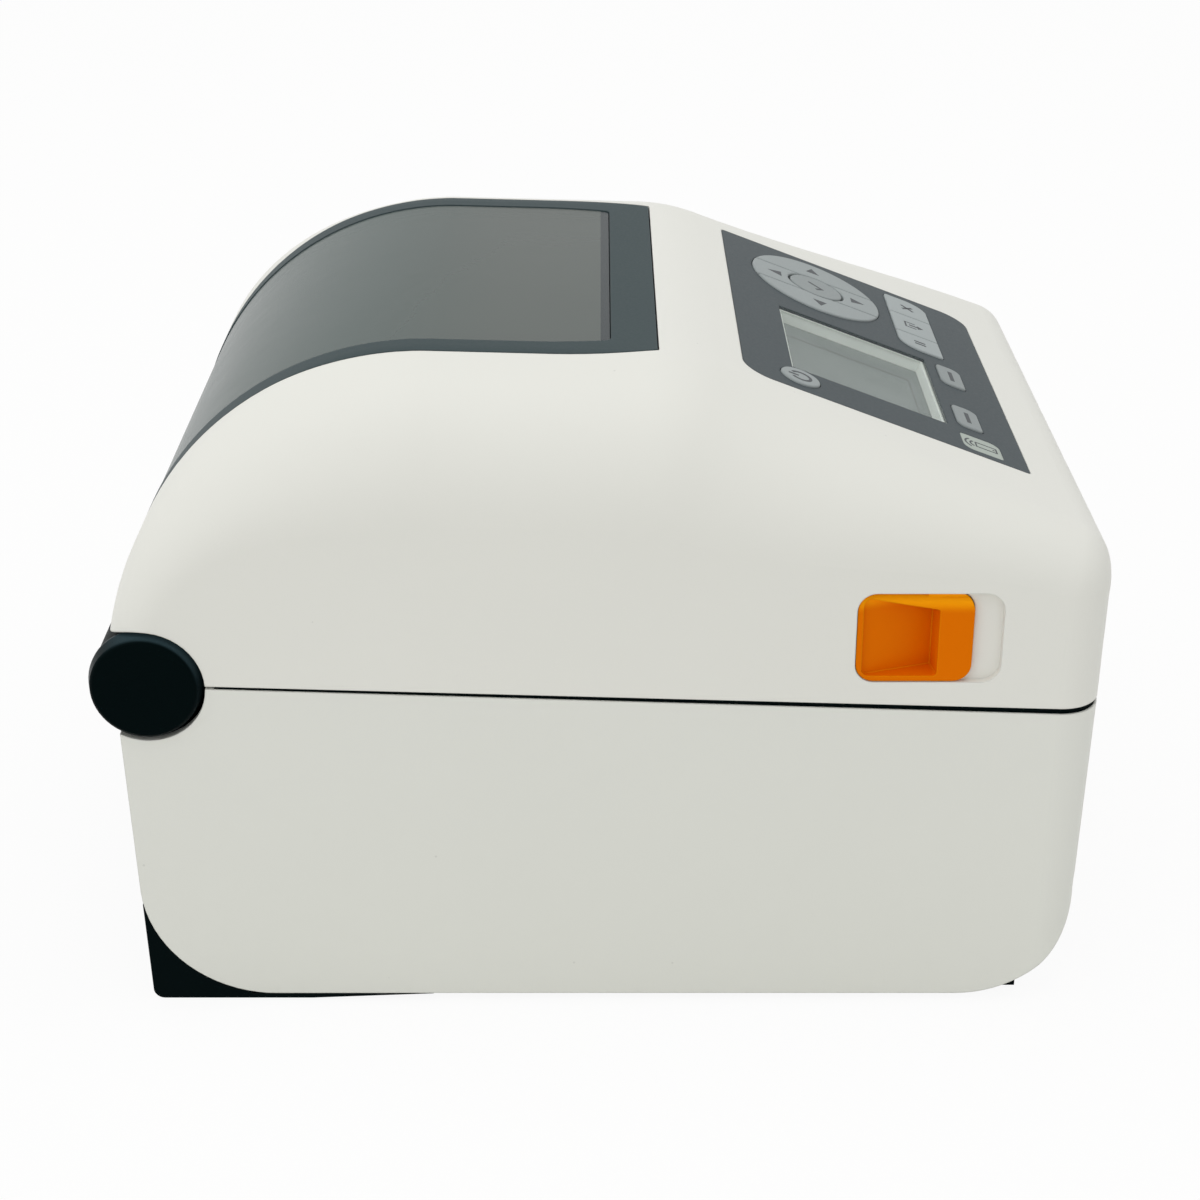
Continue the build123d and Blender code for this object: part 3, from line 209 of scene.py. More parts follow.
class Wire:
    """One output of a node, usable in sums and products, each of which adds a Math node."""

    def __init__(self, finish, socket):
        self.finish = finish
        self.socket = socket

    def math(self, operation, first, second):
        return self.finish.node("ShaderNodeMath", {"operation": operation}, {0: first, 1: second})

    def __add__(self, other):
        return self.math("ADD", self, other)

    def __radd__(self, other):
        return self.math("ADD", other, self)

    def __sub__(self, other):
        return self.math("SUBTRACT", self, other)

    def __rsub__(self, other):
        return self.math("SUBTRACT", other, self)

    def __mul__(self, other):
        return self.math("MULTIPLY", self, other)

    def __rmul__(self, other):
        return self.math("MULTIPLY", other, self)

    def __lt__(self, other):
        return self.math("LESS_THAN", self, other)

    def __gt__(self, other):
        return self.math("GREATER_THAN", self, other)

    def least(self, other):
        return self.math("MINIMUM", self, other)

    def most(self, other):
        return self.math("MAXIMUM", self, other)

    def wrapped(self, span):
        """The remainder after whole spans, as a share of one."""
        return self.math("FRACT", self * (1 / span), 0)

    def step(self, low, high):
        """A soft step from 0 at low to 1 at high."""
        return self.finish.node("ShaderNodeMapRange", {"interpolation_type": "SMOOTHSTEP"},
                                {"Value": self, "From Min": low, "From Max": high})


class Finish:
    """The node tree of one surface, built from its coordinates to its shader."""

    def __init__(self, owner):
        owner.use_nodes = True
        self.owner = owner
        self.tree = owner.node_tree
        self.tree.nodes.clear()

    def node(self, kind, settings, sockets, output=0):
        """Add a node, choose what it does, feed its sockets and hand back one output."""
        made = self.tree.nodes.new(kind)
        for key, value in settings.items():
            setattr(made, key, value)
        for key, value in sockets.items():
            if isinstance(value, Wire):
                self.tree.links.new(value.socket, made.inputs[key])
            else:
                made.inputs[key].default_value = value
        return Wire(self, made.outputs[output])

    def place(self):
        """Where a point lies on the printer, in metres."""
        return self.node("ShaderNodeTexCoord", {}, {}, "Object")

    def stretched(self, factors):
        """The place with each direction scaled."""
        return self.node("ShaderNodeVectorMath", {"operation": "MULTIPLY"}, {0: self.place(), 1: factors})

    def dot(self, first, second):
        """How far one direction goes along another."""
        return self.node("ShaderNodeVectorMath", {"operation": "DOT_PRODUCT"}, {0: first, 1: second}, "Value")

    def along(self, direction):
        """How far a point lies along a direction."""
        return self.dot(self.place(), direction)

    def noise(self, place, spacing, detail=2.0):
        return self.node("ShaderNodeTexNoise", {}, {"Vector": place, "Scale": 1 / spacing, "Detail": detail})

    def cells(self, place, spacing, feature="F1", distance="EUCLIDEAN"):
        return self.node("ShaderNodeTexVoronoi", {"feature": feature, "distance": distance},
                         {"Vector": place, "Scale": 1 / spacing})

    def tint(self, factor, first, second):
        """Blend two colours; a plain colour is widened to four values."""
        pair = [value if isinstance(value, Wire) else (*value, 1.0) for value in (first, second)]
        return self.node("ShaderNodeMix", {"data_type": "RGBA"}, {0: factor, 6: pair[0], 7: pair[1]}, 2)

    def rounded(self, radius):
        """Surface direction with every edge eased over a radius."""
        return self.node("ShaderNodeBevel", {"samples": 6}, {"Radius": radius})

    def edges(self, eased):
        """1 on an eased edge, 0 on the flat."""
        facing = self.node("ShaderNodeNewGeometry", {}, {}, "Normal")
        return (1 - self.dot(eased, facing)).step(0.02, 0.2)

    def relief(self, height, depth, eased=None):
        """Surface direction with fine relief on it."""
        sockets = {"Strength": 1.0, "Distance": depth, "Height": height}
        if eased is not None:
            sockets["Normal"] = eased
        return self.node("ShaderNodeBump", {}, sockets)

    def surface(self, **sockets):
        """Close the tree with the main shader; underscores stand for the spaces in its socket names."""
        fed = {key.replace("_", " "): value for key, value in sockets.items()}
        return self.close(self.node("ShaderNodeBsdfPrincipled", {}, fed))

    def close(self, shader):
        """Join a shader to the tree's end and hand back what it belongs to."""
        kind = "World" if isinstance(self.owner, bpy.types.World) else "Material"
        end = self.tree.nodes.new("ShaderNodeOutput" + kind)
        self.tree.links.new(shader.socket, end.inputs["Surface"])
        return self.owner


def material(name):
    """A new surface to build a finish on."""
    return Finish(bpy.data.materials.new(name))


def deeper(colour, share):
    """A colour brought down by a share of itself, or up by a negative share."""
    return tuple(value * (1 - share) for value in colour)


def lighter(colour, share):
    """A colour brought up towards white by a share."""
    return tuple(value + (1 - value) * share for value in colour)


def scaled(colour, *factors):
    """A colour with each of its three values multiplied."""
    return tuple(value * factor for value, factor in zip(colour, factors))


def paint(finish, *names):
    """Give printer parts a finish."""
    for name in names:
        part = NODES[name]
        if not part.material_slots:
            part.data.materials.append(finish)
        for slot in part.material_slots:
            slot.material = finish


def grained(name, colour, housing, worn, wear_and_highlight, roughness, shine, patch=45 * MM):
    """Moulded plastic: fine grain, faint cloudiness, and a lighter tone, partly rubbed and partly painted
    highlight, where the given mask puts it.
    """
    finish = material(name)
    place = finish.place()
    grain = finish.noise(place, housing.grain)
    cloud = finish.noise(place, patch, 3.0)
    eased = finish.rounded(housing.edge)
    tone = finish.tint(cloud, deeper(colour, 0.05), deeper(colour, -0.04))
    return finish.surface(
        # the lighter tone is partly rubbing and partly painted highlight
        Base_Color=finish.tint(wear_and_highlight(finish, eased), tone, worn),
        Roughness=roughness + 0.16 * (grain - 0.5),
        Specular_IOR_Level=shine,
        Normal=finish.relief(grain, housing.depth, eased))


def moulded(name, colour, housing, roughness=0.45, edge_wear_and_highlight=0.12, shine=0.12):
    """Moulded plastic with its edges lighter, partly rubbed and partly a painted edge highlight."""
    def wear_and_highlight(finish, eased):
        return finish.edges(eased) * edge_wear_and_highlight

    return grained(name, colour, housing, lighter(colour, 0.3), wear_and_highlight, roughness, shine)


def slider_plastic(name, colour, worn, housing, crown_highlight):
    """Orange slider plastic with a painted highlight up its rounded top and along its edges."""
    def wear_and_highlight(finish, eased):
        # painted highlight: brighter towards the top and along the edges
        return finish.along(UP).step(*crown_highlight).most(finish.edges(eased) * 0.6)

    return grained(name, colour, housing, worn, wear_and_highlight, 0.36, 0.02)


def cap_plastic(name, colour, worn, housing, hub, radius):
    """Hinge cap plastic: a faint greyer tone round its rim, and a painted highlight on the rim's upper side.
    """
    def wear_and_highlight(finish, _):
        away, rise = finish.along(BACK) - hub[1], finish.along(UP) - hub[2]
        rim = (away * away + rise * rise).step((0.9 * radius) ** 2, (0.96 * radius) ** 2)
        # painted highlight: the upper side of the rim, which faces the light, turns greyer
        upper = (rise - 0.4 * away).step(0.3 * radius, 1.1 * radius)
        return rim * (0.12 + 0.88 * upper)

    return grained(name, colour, housing, worn, wear_and_highlight, 0.3, 0.02, 12 * MM)


def white_plastic(name, colour, housing):
    """White housing plastic: grain, a tone a little darker and yellower towards the bottom, and a few specks
    of dust.
    """
    finish = material(name)
    place = finish.place()
    grain = finish.noise(place, housing.grain)
    cloud = finish.noise(place, 60 * MM, 3.0)
    patchy = finish.noise(place, 35 * MM)
    speck = (finish.cells(place, 9 * MM) < 0.035) * (patchy > 0.56)
    eased = finish.rounded(housing.edge)
    tone = finish.tint(cloud, deeper(colour, 0.03), colour)
    low = 1 - finish.along(UP).step(0, 90 * MM)
    tinted_low_down = finish.tint(low * 0.25, tone, scaled(colour, 0.97, 0.97, 0.94))
    return finish.surface(
        Base_Color=finish.tint(speck * 0.2, tinted_low_down, deeper(colour, 0.6)),
        Roughness=housing.gloss + 0.14 * (grain - 0.5),
        Specular_IOR_Level=0.4,
        Normal=finish.relief(grain, housing.depth, eased))


def smoked_sheet(name, colour, solid, front, bevel):
    """Smoked clear plastic: bevelled front edge, painted highlight along its rim, bluer towards the back,
    faint wiping marks.
    """
    finish = material(name)
    wipe = finish.noise(finish.stretched((1, 0.12, 0.3)), 3 * MM, 4.0)
    cloud = finish.noise(finish.place(), 50 * MM)
    depth = finish.along(BACK)
    lip = depth < front + bevel
    # painted highlight: a light line along the pane's edges, but not along the front
    rim = finish.edges(finish.rounded(0.8 * MM)) * (1 - lip)
    even = finish.tint(cloud, deeper(colour, 0.06), deeper(colour, -0.05))
    tone = finish.tint(depth.step(15 * MM, 60 * MM), even, scaled(colour, 0.78, 0.92, 0.93))
    lipped = finish.tint(lip * 0.8, tone, scaled(colour, 0.2, 0.25, 0.34))
    return finish.surface(
        Base_Color=finish.tint(rim * 0.45, lipped, lighter(colour, 0.45)),
        Roughness=0.2 + 0.06 * wipe,
        Specular_IOR_Level=0.1,
        Alpha=solid)


def clear_sheet(name):
    """Clear cover sheet: see-through with a soft reflection and a trace of handling."""
    finish = material(name)
    smear = finish.noise(finish.stretched((1, 0.4, 0.4)), 8 * MM, 3.0)
    bare = finish.node("ShaderNodeBsdfTransparent", {}, {"Color": (0.96, 0.97, 0.965, 1)})
    gloss = finish.node("ShaderNodeBsdfAnisotropic", {}, {"Color": WHITE, "Roughness": 0.08})
    glance = finish.node("ShaderNodeFresnel", {}, {"IOR": 1.4})
    return finish.close(finish.node("ShaderNodeMixShader", {},
                                    {0: glance * (0.1 + 0.1 * smear), 1: bare, 2: gloss}))


def display_glass(name, colour, bounds, bands, away):
    """Resting display: a darker band on two sides, its thin outline and a barely seen grid of dots."""
    finish = material(name)
    x, y = finish.along((1, 0, 0)), finish.along(away)
    (_, right), (near, _) = bounds
    beside, above = right - bands[0] - x, y - near - bands[1]
    band = beside.least(above) < 0
    within = (beside > -STILE_HALF) * (above > -RAIL_HALF)
    line = within * (beside < STILE_HALF).most(above < RAIL_HALF)
    dots = (x.wrapped(DOT_PITCH) < DOT_GAP).most(y.wrapped(DOT_PITCH) < DOT_GAP) * (1 - band)
    cloud = finish.noise(finish.place(), 25 * MM)
    tone = finish.tint(cloud, deeper(colour, 0.05), deeper(colour, -0.05))
    edged = finish.tint(band, tone, deeper(colour, 0.06))
    lined = finish.tint(line, edged, deeper(colour, 0.6))
    return finish.surface(
        Base_Color=finish.tint(dots * 0.12, lined, deeper(colour, 0.4)),
        Roughness=0.28 + 0.1 * cloud,
        Specular_IOR_Level=0.1)


def brushed_metal(name, colour, direction, roughness):
    """Bare metal with brushing along a direction."""
    finish = material(name)
    drawn = finish.noise(finish.stretched(tuple(0.04 if axis else 1.0 for axis in direction)), 0.5 * MM, 3.0)
    cloud = finish.noise(finish.place(), 18 * MM)
    return finish.surface(
        Base_Color=finish.tint(cloud, deeper(colour, 0.14), lighter(colour, 0.05)),
        Metallic=1.0,
        Roughness=roughness + 0.22 * (drawn - 0.5),
        Normal=finish.relief(drawn, 0.01 * MM, finish.rounded(0.25 * MM)))


def soft_rubber(name, colour):
    """Ground rubber with a dusty bloom."""
    finish = material(name)
    ground = finish.noise(finish.place(), 0.4 * MM, 4.0)
    bloom = finish.noise(finish.place(), 12 * MM, 3.0)
    return finish.surface(
        Base_Color=finish.tint(bloom.step(0.3, 0.8), colour, lighter(colour, 0.015)),
        Roughness=0.72 + 0.2 * (ground - 0.5),
        Specular_IOR_Level=0.3,
        Normal=finish.relief(ground, 0.03 * MM, finish.rounded(0.4 * MM)))


def circuit_board(name, colour, copper):
    """Solder mask with tracks under it and tinned points through it."""
    finish = material(name)
    place = finish.place()
    track = 1 - finish.cells(place, 5 * MM, "DISTANCE_TO_EDGE").step(0.03, 0.07)
    point = finish.cells(place, 4 * MM, distance="CHEBYCHEV") < 0.13
    masked = finish.tint(track, colour, lighter(colour, 0.12))
    return finish.surface(
        Base_Color=finish.tint(point, masked, copper),
        Metallic=point * 0.8,
        Roughness=0.34 + 0.1 * track,
        Normal=finish.relief(track, 0.02 * MM))


def printed_ink(name, colour):
    """Screen print: even colour with a slightly rough lay."""
    finish = material(name)
    lay = finish.noise(finish.place(), 0.25 * MM)
    return finish.surface(
        Base_Color=finish.tint(lay, deeper(colour, 0.1), lighter(colour, 0.04)),
        Roughness=0.5 + 0.2 * (lay - 0.5),
        Specular_IOR_Level=0.3)


def joint_axis(name):
    """Direction of a joint."""
    return next(Vector(joint["axis"]) for joint in frame["joints"] if joint["name"] == name)


PANEL_UP = -joint_axis("key_select_press").normalized()
ACROSS = Vector((1, 0, 0))
AWAY = PANEL_UP.cross(ACROSS)


def face_bounds(name):
    """Bounds across and away from the operator, and the height, of a panel part's top face."""
    points = [vertex.co for vertex in NODES[name].data.vertices]
    height = max(point.dot(PANEL_UP) for point in points)
    top = [point for point in points if point.dot(PANEL_UP) > height - 0.01 * MM]
    spans = []
    for direction in (ACROSS, AWAY):
        reach = [point.dot(direction) for point in top]
        spans.append((min(reach), max(reach)))
    return spans[0], spans[1], height


def stroke(points, width):
    """Outline of a drawn line with square ends."""
    left, right = [], []
    path = [Vector(point) for point in points]
    for index, point in enumerate(path):
        before = (point - path[index - 1]).normalized() if index else None
        after = (path[index + 1] - point).normalized() if index + 1 < len(path) else None
        way = ((before or after) + (after or before)).normalized()
        across = Vector((-way.y, way.x))
        reach = width / 2 / max(0.35, across.dot(Vector((-(after or before).y, (after or before).x))))
        left.append(point + across * reach)
        right.append(point - across * reach)
    return left + right[::-1]


def arc(radius, start, end, centre=(0, 0), steps=20):
    """Points along part of a circle."""
    angles = [math.radians(start + (end - start) * step / steps) for step in range(steps + 1)]
    return [(centre[0] + radius * math.cos(a), centre[1] + radius * math.sin(a)) for a in angles]


def arrow_head(angle, size=2.3):
    """A filled triangle that points at an angle."""
    return [arc(size, angle + turn, angle + turn, steps=1)[0] for turn in (0, 128, 232)]


def bar(width, height, centre=(0, 0)):
    """An upright block."""
    x, y = centre
    w, h = width / 2, height / 2
    return [(x - w, y - h), (x + w, y - h), (x + w, y + h), (x - w, y + h)]


def sign_outlines(width):
    """The shapes of every sign in millimetres, by key: across to the right, up away from the operator."""
    phone = [(1.3, 1.4), (1.3, -3.6), (-1.3, -3.6), (-1.3, 1.4), (1.3, 1.4)]
    return {
        "key_up": [arrow_head(90)],
        "key_down": [arrow_head(270)],
        "key_left": [arrow_head(180)],
        "key_right": [arrow_head(0)],
        "key_select": [stroke([(-2.1, 0.2), (-0.6, -1.5), (2.3, 1.9)], width)],
        "key_cancel": [stroke([(-1.5, -1.5), (1.5, 1.5)], width), stroke([(-1.5, 1.5), (1.5, -1.5)], width)],
        "key_feed": [stroke([(-1.8, -0.5), (-1.8, 2.3), (1.8, 2.3), (1.8, -0.5)], 0.6 * width),
                     stroke([(0, 1.3), (0, -1.2)], width), [(-1.3, -1.0), (1.3, -1.0), (0, -2.6)][::-1]],
        "key_pause": [bar(0.8, 3.0, (-0.8, 0)), bar(0.8, 3.0, (0.8, 0))],
        "key_soft_left": [bar(6.4, 1.1)],
        "key_soft_right": [bar(6.4, 1.1)],
        "key_power": [stroke(arc(2.3, 122, 418), width), stroke([(0, 0.6), (0, 3.0)], width)],
        "tag_plate": [stroke(phone, 0.5 * width), bar(0.5, 0.5, (0, -2.9)),
                      stroke(arc(1.6, 30, 150, (0, 1.2)), 0.6 * width),
                      stroke(arc(2.8, 35, 145, (0, 1.2)), 0.6 * width)],
    }


def add_prism(shape, *outlines):
    """Close two matching outlines into a solid."""
    low, high = [[shape.verts.new(point) for point in outline] for outline in outlines]
    for index in range(len(low)):
        follow = (index + 1) % len(low)
        shape.faces.new((low[index], low[follow], high[follow], high[index]))
    shape.faces.new(high)
    shape.faces.new(low[::-1])


def new_piece(name, shape, carrier, finish):
    """Turn a shape into a piece that moves with the part that carries it."""
    bmesh.ops.triangulate(shape, faces=[face for face in shape.faces if len(face.verts) > 4])
    bmesh.ops.recalc_face_normals(shape, faces=shape.faces)
    mesh = bpy.data.meshes.new(name)
    shape.to_mesh(mesh)
    shape.free()
    mesh.materials.append(finish)
    piece = bpy.data.objects.new(name, mesh)
    bpy.context.scene.collection.objects.link(piece)
    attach(piece, NODES[carrier]["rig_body"])
    return piece


def print_sign(name, outlines, thickness, ink):
    """Raise a sign's shapes from the face of the part that carries it."""
    across, away, height = face_bounds(name)
    middle = ACROSS * sum(across) / 2 + AWAY * sum(away) / 2
    shape = bmesh.new()
    for outline in outlines:
        flat = [middle + ACROSS * x * MM + AWAY * y * MM for x, y in outline]
        add_prism(shape, *[[point + PANEL_UP * level for point in flat]
                           for level in (height - thickness, height + thickness)])
    new_piece("sign_" + name, shape, name, ink)


def raise_crest(name, thickness, finish):
    """Raise a thin lip behind a latch's front flap, up to the line of its rounded top."""
    low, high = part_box(name)
    front, top = low[1], high[2]
    outer = low[0] if low[0] < 0 else high[0]
    inward = -math.copysign(1, outer)
    bend = arc(LATCH_CORNER, 145, 90, (front + LATCH_CORNER, top - LATCH_CORNER), 10)
    reach = front + CREST_LENGTH
    outline = [*bend, (reach, top), (reach, bend[0][1])]
    faces = [outer + inward * (FLAP_DEPTH + shift * thickness) for shift in (-0.46, 0.54)]
    shape = bmesh.new()
    add_prism(shape, *[[Vector((x, y, z)) for y, z in outline] for x in faces])
    new_piece("crest_" + name, shape, name, finish)


def bend_springs(thickness, width, finish):
    """Bend the pair of leaf springs over the print head, in place of the solid springs."""
    low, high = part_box("head_springs")
    reach = (high[2] - low[2]) / 2
    middle = (high[1] - reach, low[2] + reach)
    sides = [[(low[1], middle[1] + radius), *arc(radius, 90, -90, middle), (low[1], middle[1] - radius)]
             for radius in (reach, reach - thickness)]
    outline = sides[0] + sides[1][::-1]
    shape = bmesh.new()
    for edge in (low[0], high[0] - width):
        add_prism(shape, *[[Vector((x, y, z)) for y, z in outline] for x in (edge, edge + width)])
    springs = new_piece("leaf_springs", shape, "head_springs", finish)
    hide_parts("head_springs")
    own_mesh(springs)


class PRINTER_OT_housing(bpy.types.Operator):
    """Give the cover and the base their white plastic"""
    bl_idname = "printer.housing"
    bl_label = "Housing"

    def execute(self, context):
        housing = context.scene.printer_housing
        paint(white_plastic("cover_white", housing.cover, housing), "top_cover")
        paint(white_plastic("base_white", housing.base, housing), "base_shell")
        return {"FINISHED"}


class PRINTER_OT_window(bpy.types.Operator):
    """Give the window and its surround their finishes"""
    bl_idname = "printer.window"
    bl_label = "Window"

    def execute(self, context):
        housing, trim = context.scene.printer_housing, context.scene.printer_trim
        paint(moulded("frame_slate", trim.frame, housing, 0.46, 0.06, 0.04), "window_frame")
        front = min(vertex.co.y for vertex in NODES["window"].data.vertices)
        paint(smoked_sheet("smoked_pane", trim.pane, trim.solid, front, trim.bevel), "window")
        return {"FINISHED"}


class PRINTER_OT_dark_trim(bpy.types.Operator):
    """Give the hinge, tray and inner frame their dark plastics"""
    bl_idname = "printer.dark_trim"
    bl_label = "Dark trim"

    def execute(self, context):
        housing, trim = context.scene.printer_housing, context.scene.printer_trim
        low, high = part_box("hinge_caps")
        hub = [(first + last) / 2 for first, last in zip(low, high)]
        # the caps get a painted highlight on the upper side of their rims
        paint(cap_plastic("cap_black", trim.cap, trim.cap_rim_highlight, housing, hub, hub[1] - low[1]), "hinge_caps")
        # painted shade: the inner rim takes the charcoal so that the parting gap reads as dark shade
        paint(moulded("tray_charcoal_and_gap_shade", trim.tray, housing, 0.45, 0.03, 0.02),
              "bottom_tray", "inner_rim", "front_bezel")
        paint(moulded("frame_charcoal", trim.barrel, housing, 0.45, trim.edge_wear_and_highlight, 0.2), "cover_frame")
        return {"FINISHED"}


class PRINTER_OT_latches(bpy.types.Operator):
    """Give the side latches their orange plastic, their lips and charcoal hooks"""
    bl_idname = "printer.latches"
    bl_label = "Latches"

    def execute(self, context):
        housing, trim = context.scene.printer_housing, context.scene.printer_trim
        # heights below the top where the painted highlight starts and where it is full
        crown_highlight = [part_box(LATCHES[0])[1][2] - drop for drop in CROWN_HIGHLIGHT]
        orange = slider_plastic("latch_orange", trim.latch, trim.latch_highlight, housing, crown_highlight)
        paint(orange, *LATCHES)
        for name in LATCHES:
            raise_crest(name, trim.crest, orange)
        paint(moulded("hook_charcoal", trim.barrel, housing, 0.5, trim.edge_wear_and_highlight),
              "latch_hook_left", "latch_hook_right")
        return {"FINISHED"}


class PRINTER_OT_panel(bpy.types.Operator):
    """Give the control panel and its display their finishes"""
    bl_idname = "printer.panel"
    bl_label = "Control panel"

    def execute(self, context):
        housing, panel = context.scene.printer_housing, context.scene.printer_panel
        paint(moulded("panel_slate", panel.plate, housing, 0.44, 0.06, 0.06), "control_panel")
        paint(moulded("tag_pale", panel.tag, housing, 0.4, 0.2), "tag_plate")
        paint(moulded("well_pale", panel.well, housing, 0.5, 0.1, 0.3), "lcd_surround")
        across, away, _ = face_bounds("lcd_glass")
        bands = (panel.border, panel.sill)
        paint(display_glass("display_glass", panel.display, (across, away), bands, AWAY), "lcd_glass")
        paint(clear_sheet("lens_clear"), "lcd_lens")
        return {"FINISHED"}


class PRINTER_OT_keys(bpy.types.Operator):
    """Give the keys their plastic and print their signs"""
    bl_idname = "printer.keys"
    bl_label = "Keys and signs"

    def execute(self, context):
        housing, panel = context.scene.printer_housing, context.scene.printer_panel
        # painted light: the select and soft keys take a darker copy of the key grey for shade, the lower row
        # a lighter copy for light
        for finish_name, depth, names in (("key_grey", 0, KEYS), ("key_grey_painted_shade", 0.13, DISHED_KEYS),
                                          ("key_grey_painted_light", -0.15, ROW_KEYS)):
            paint(moulded(finish_name, deeper(panel.keys, depth), housing, 0.48, 0.2, 0.15), *names)
        ink = printed_ink("sign_ink", panel.ink)
        for name, outlines in sign_outlines(panel.stroke / MM).items():
            print_sign(name, outlines, panel.print_height, ink)
        return {"FINISHED"}


class PRINTER_OT_media_bay(bpy.types.Operator):
    """Give the roll well, holders, sensor and printing parts their finishes, and bent leaf springs"""
    bl_idname = "printer.media_bay"
    bl_label = "Media bay"

    def execute(self, context):
        housing, inside = context.scene.printer_housing, context.scene.printer_inside
        paint(moulded("tub_charcoal", inside.tub, housing, 0.5, 0.3), "media_tub")
        paint(moulded("holder_grey", inside.holder, housing, 0.45, 0.35),
              "roll_holder_left", "roll_holder_right", "media_sensor")
        paint(soft_rubber("ground_rubber", inside.rubber), "platen_roller", "rubber_feet")
        steel = brushed_metal("drawn_steel", inside.steel, (1, 0, 0), 0.34)
        paint(steel, "hinge_pin", "head_pivot", "head_springs", "tear_bar", "head_bracket", "platen_shaft",
              "motor_shaft", "tray_screws")
        bend_springs(inside.strip, inside.leaf, steel)
        paint(brushed_metal("cast_alloy", inside.alloy, (1, 0, 0), 0.42), "print_head")
        return {"FINISHED"}


class PRINTER_OT_drive(bpy.types.Operator):
    """Give the motor, gears and bearings their finishes"""
    bl_idname = "printer.drive"
    bl_label = "Drive"

    def execute(self, context):
        housing, inside = context.scene.printer_housing, context.scene.printer_inside
        paint(brushed_metal("motor_steel", deeper(inside.steel, 0.35), (1, 0, 0), 0.4), "drive_motor")
        paint(brushed_metal("turned_brass", inside.brass, (0, 1, 1), 0.3), "motor_pinion")
        paint(moulded("nylon", inside.nylon, housing, 0.4, 0.2),
              "platen_gear", "idler_gear", "holder_pinion", "platen_bearings")
        return {"FINISHED"}


class PRINTER_OT_electronics(bpy.types.Operator):
    """Give the boards, switches and sockets their finishes"""
    bl_idname = "printer.electronics"
    bl_label = "Boards and sockets"

    def execute(self, context):
        housing, inside = context.scene.printer_housing, context.scene.printer_inside
        trim = context.scene.printer_trim
        paint(circuit_board("board_green", inside.mask, inside.brass),
              "panel_board", "port_board", "main_board")
        paint(brushed_metal("socket_tin", inside.steel, BACK, 0.3),
              "usb_device_port", "usb_host_port", "serial_port")
        paint(moulded("socket_black", trim.tray, housing, 0.4, 0.3),
              "power_jack", "ethernet_port", "key_switches")
        return {"FINISHED"}


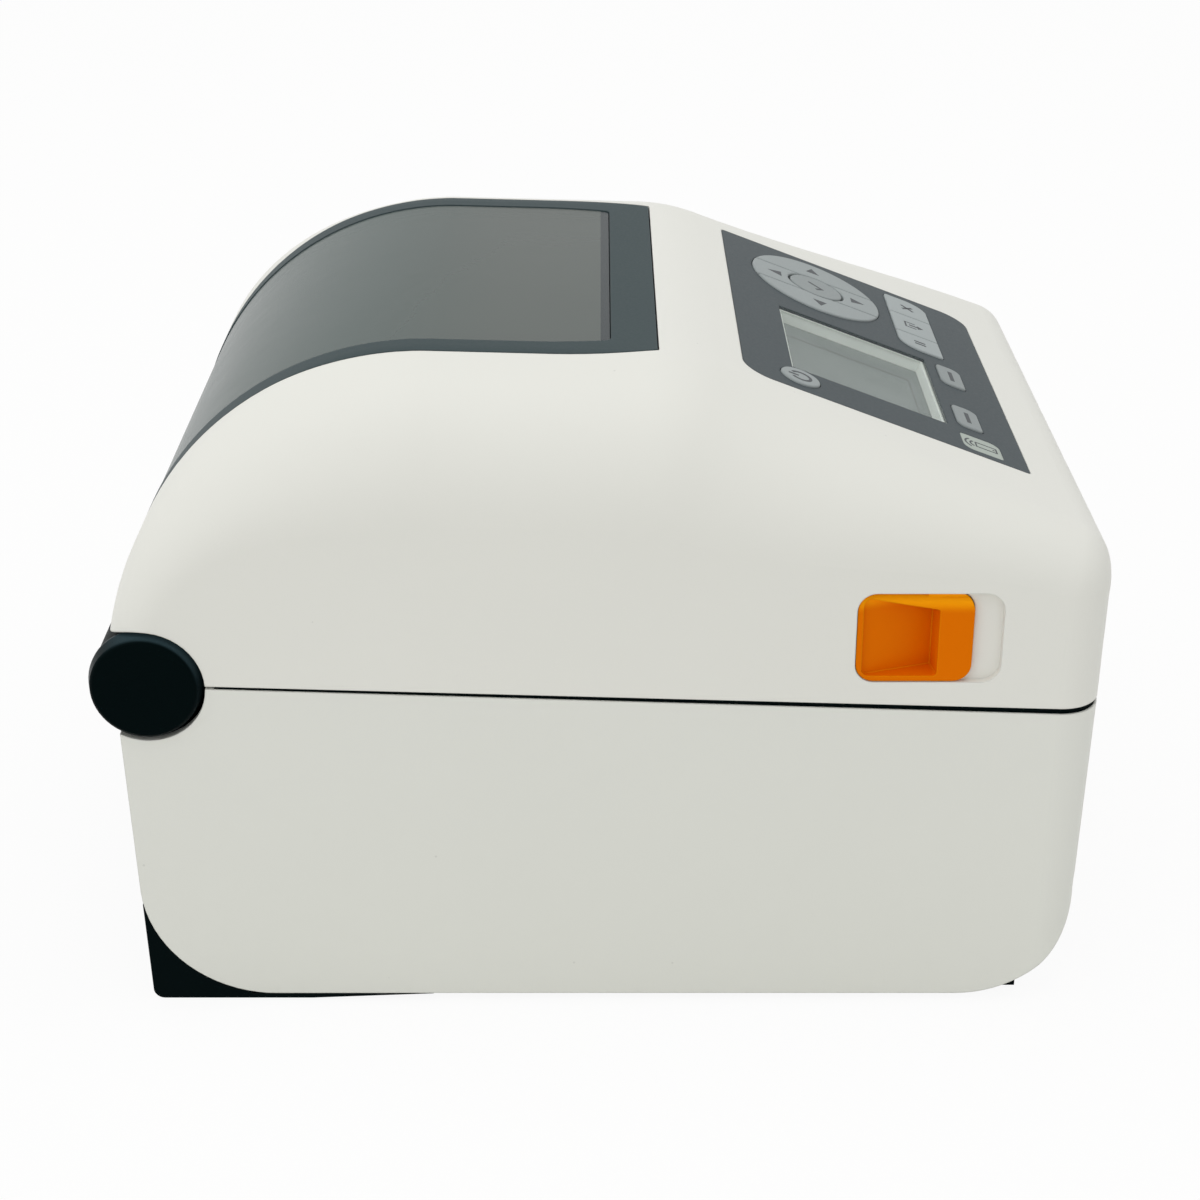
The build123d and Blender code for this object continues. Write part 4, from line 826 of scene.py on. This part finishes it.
class PRINTER_OT_studio(bpy.types.Operator):
    """Set the floor, the soft light and the camera"""
    bl_idname = "printer.studio"
    bl_label = "Studio"

    def execute(self, context):
        studio = context.scene.printer_studio
        context.scene.view_settings.view_transform = "Standard"
        self.lay_floor(context, studio)
        self.light_sky(context, studio)
        self.hang_lamp(context, "overhead_light", studio.overhead, *OVERHEAD_LAMP)
        self.hang_lamp(context, "side_light", studio.side, *SIDE_LAMP)
        self.place_camera(context, studio)
        return {"FINISHED"}

    def background(self, finish):
        """1 for rays that show the floor and sky directly, in a mirror or through glass."""
        kinds = [finish.node("ShaderNodeLightPath", {}, {}, name)
                 for name in ("Is Camera Ray", "Is Glossy Ray", "Is Transmission Ray")]
        return kinds[0].most(kinds[1]).most(kinds[2])

    def lay_floor(self, context, studio):
        """Lay the pale floor, white where it is seen and lit where the printer shades it."""
        shape = bmesh.new()
        bmesh.ops.create_grid(shape, x_segments=12, y_segments=12, size=studio.floor_size)
        mesh = bpy.data.meshes.new("floor")
        shape.to_mesh(mesh)
        shape.free()
        floor = bpy.data.objects.new("floor", mesh)
        floor.location.z = -0.1 * MM
        context.scene.collection.objects.link(floor)
        finish = material("pale_floor")
        matt = finish.node("ShaderNodeBsdfDiffuse", {}, {"Color": (*studio.floor, 1)})
        bright = finish.node("ShaderNodeEmission", {}, {"Strength": 1.0})
        mesh.materials.append(finish.close(finish.node(
            "ShaderNodeMixShader", {}, {0: self.background(finish) * FLOOR_WHITE, 1: matt, 2: bright})))

    def light_sky(self, context, studio):
        """Light the printer evenly from all round, a little more from above and behind."""
        world = bpy.data.worlds.new("soft_sky")
        context.scene.world = world
        finish = Finish(world)
        heading = finish.node("ShaderNodeTexCoord", {}, {}, "Generated")
        rise, back = finish.dot(heading, UP), finish.dot(heading, BACK)
        strength = studio.sky * (0.8 + 0.3 * rise.step(-0.3, 0.9)) * (0.86 + 0.2 * back.step(-0.9, 0.9))
        even = finish.node("ShaderNodeBackground", {}, {"Color": WHITE, "Strength": strength})
        bright = finish.node("ShaderNodeBackground", {}, {"Color": WHITE, "Strength": 1.0})
        finish.close(finish.node("ShaderNodeMixShader", {}, {0: self.background(finish), 1: even, 2: bright}))

    def hang_lamp(self, context, name, power, width, place):
        """Hang a soft square lamp that looks at the printer."""
        lamp = bpy.data.lights.new(name, "AREA")
        lamp.energy = power
        lamp.size = width
        holder = bpy.data.objects.new(name, lamp)
        holder.location = place
        aim = Vector(LAMP_AIM) - Vector(place)
        holder.rotation_euler = aim.to_track_quat("-Z", "Y").to_euler()
        context.scene.collection.objects.link(holder)

    def place_camera(self, context, studio):
        """Set the camera where the photograph was taken from."""
        lens = bpy.data.cameras.new("photo_camera")
        lens.sensor_width = 36
        lens.lens = studio.lens
        lens.clip_start = 0.01
        lens.clip_end = 50
        camera = bpy.data.objects.new("photo_camera", lens)
        camera.matrix_world = (Matrix.Translation(studio.eye) @ Matrix.Rotation(math.radians(-90), 4, "Z")
                               @ Matrix.Rotation(math.radians(90) - studio.tilt, 4, "X"))
        context.scene.collection.objects.link(camera)
        context.scene.camera = camera


class PRINTER_PT_looks(bpy.types.Panel):
    """Lists the steps that dress the printer"""
    bl_idname = "PRINTER_PT_looks"
    bl_label = "Label Printer Looks"
    bl_space_type = "VIEW_3D"
    bl_region_type = "UI"
    bl_category = "Printer"

    def draw(self, context):
        for step in STEPS:
            self.layout.operator(step.bl_idname)
        for name in SETTINGS:
            box = self.layout.box()
            group = getattr(context.scene, name)
            for key in group.bl_rna.properties.keys():
                if key not in ("rna_type", "name"):
                    box.prop(group, key)


SETTINGS = {
    "printer_housing": HousingSettings,
    "printer_trim": TrimSettings,
    "printer_panel": PanelSettings,
    "printer_inside": InsideSettings,
    "printer_studio": StudioSettings,
}
STEPS = (PRINTER_OT_housing, PRINTER_OT_window, PRINTER_OT_dark_trim, PRINTER_OT_latches, PRINTER_OT_panel,
         PRINTER_OT_keys, PRINTER_OT_media_bay, PRINTER_OT_drive, PRINTER_OT_electronics, PRINTER_OT_studio)
CLASSES = (*SETTINGS.values(), *STEPS, PRINTER_PT_looks)


def register():
    for kind in CLASSES:
        bpy.utils.register_class(kind)
    for name, kind in SETTINGS.items():
        setattr(bpy.types.Scene, name, PointerProperty(type=kind))


def unregister():
    for name in SETTINGS:
        delattr(bpy.types.Scene, name)
    for kind in reversed(CLASSES):
        bpy.utils.unregister_class(kind)


def main():
    register()
    for step in STEPS:
        family, name = step.bl_idname.split(".")
        getattr(getattr(bpy.ops, family), name)()


if __name__ == "__main__":
    main()
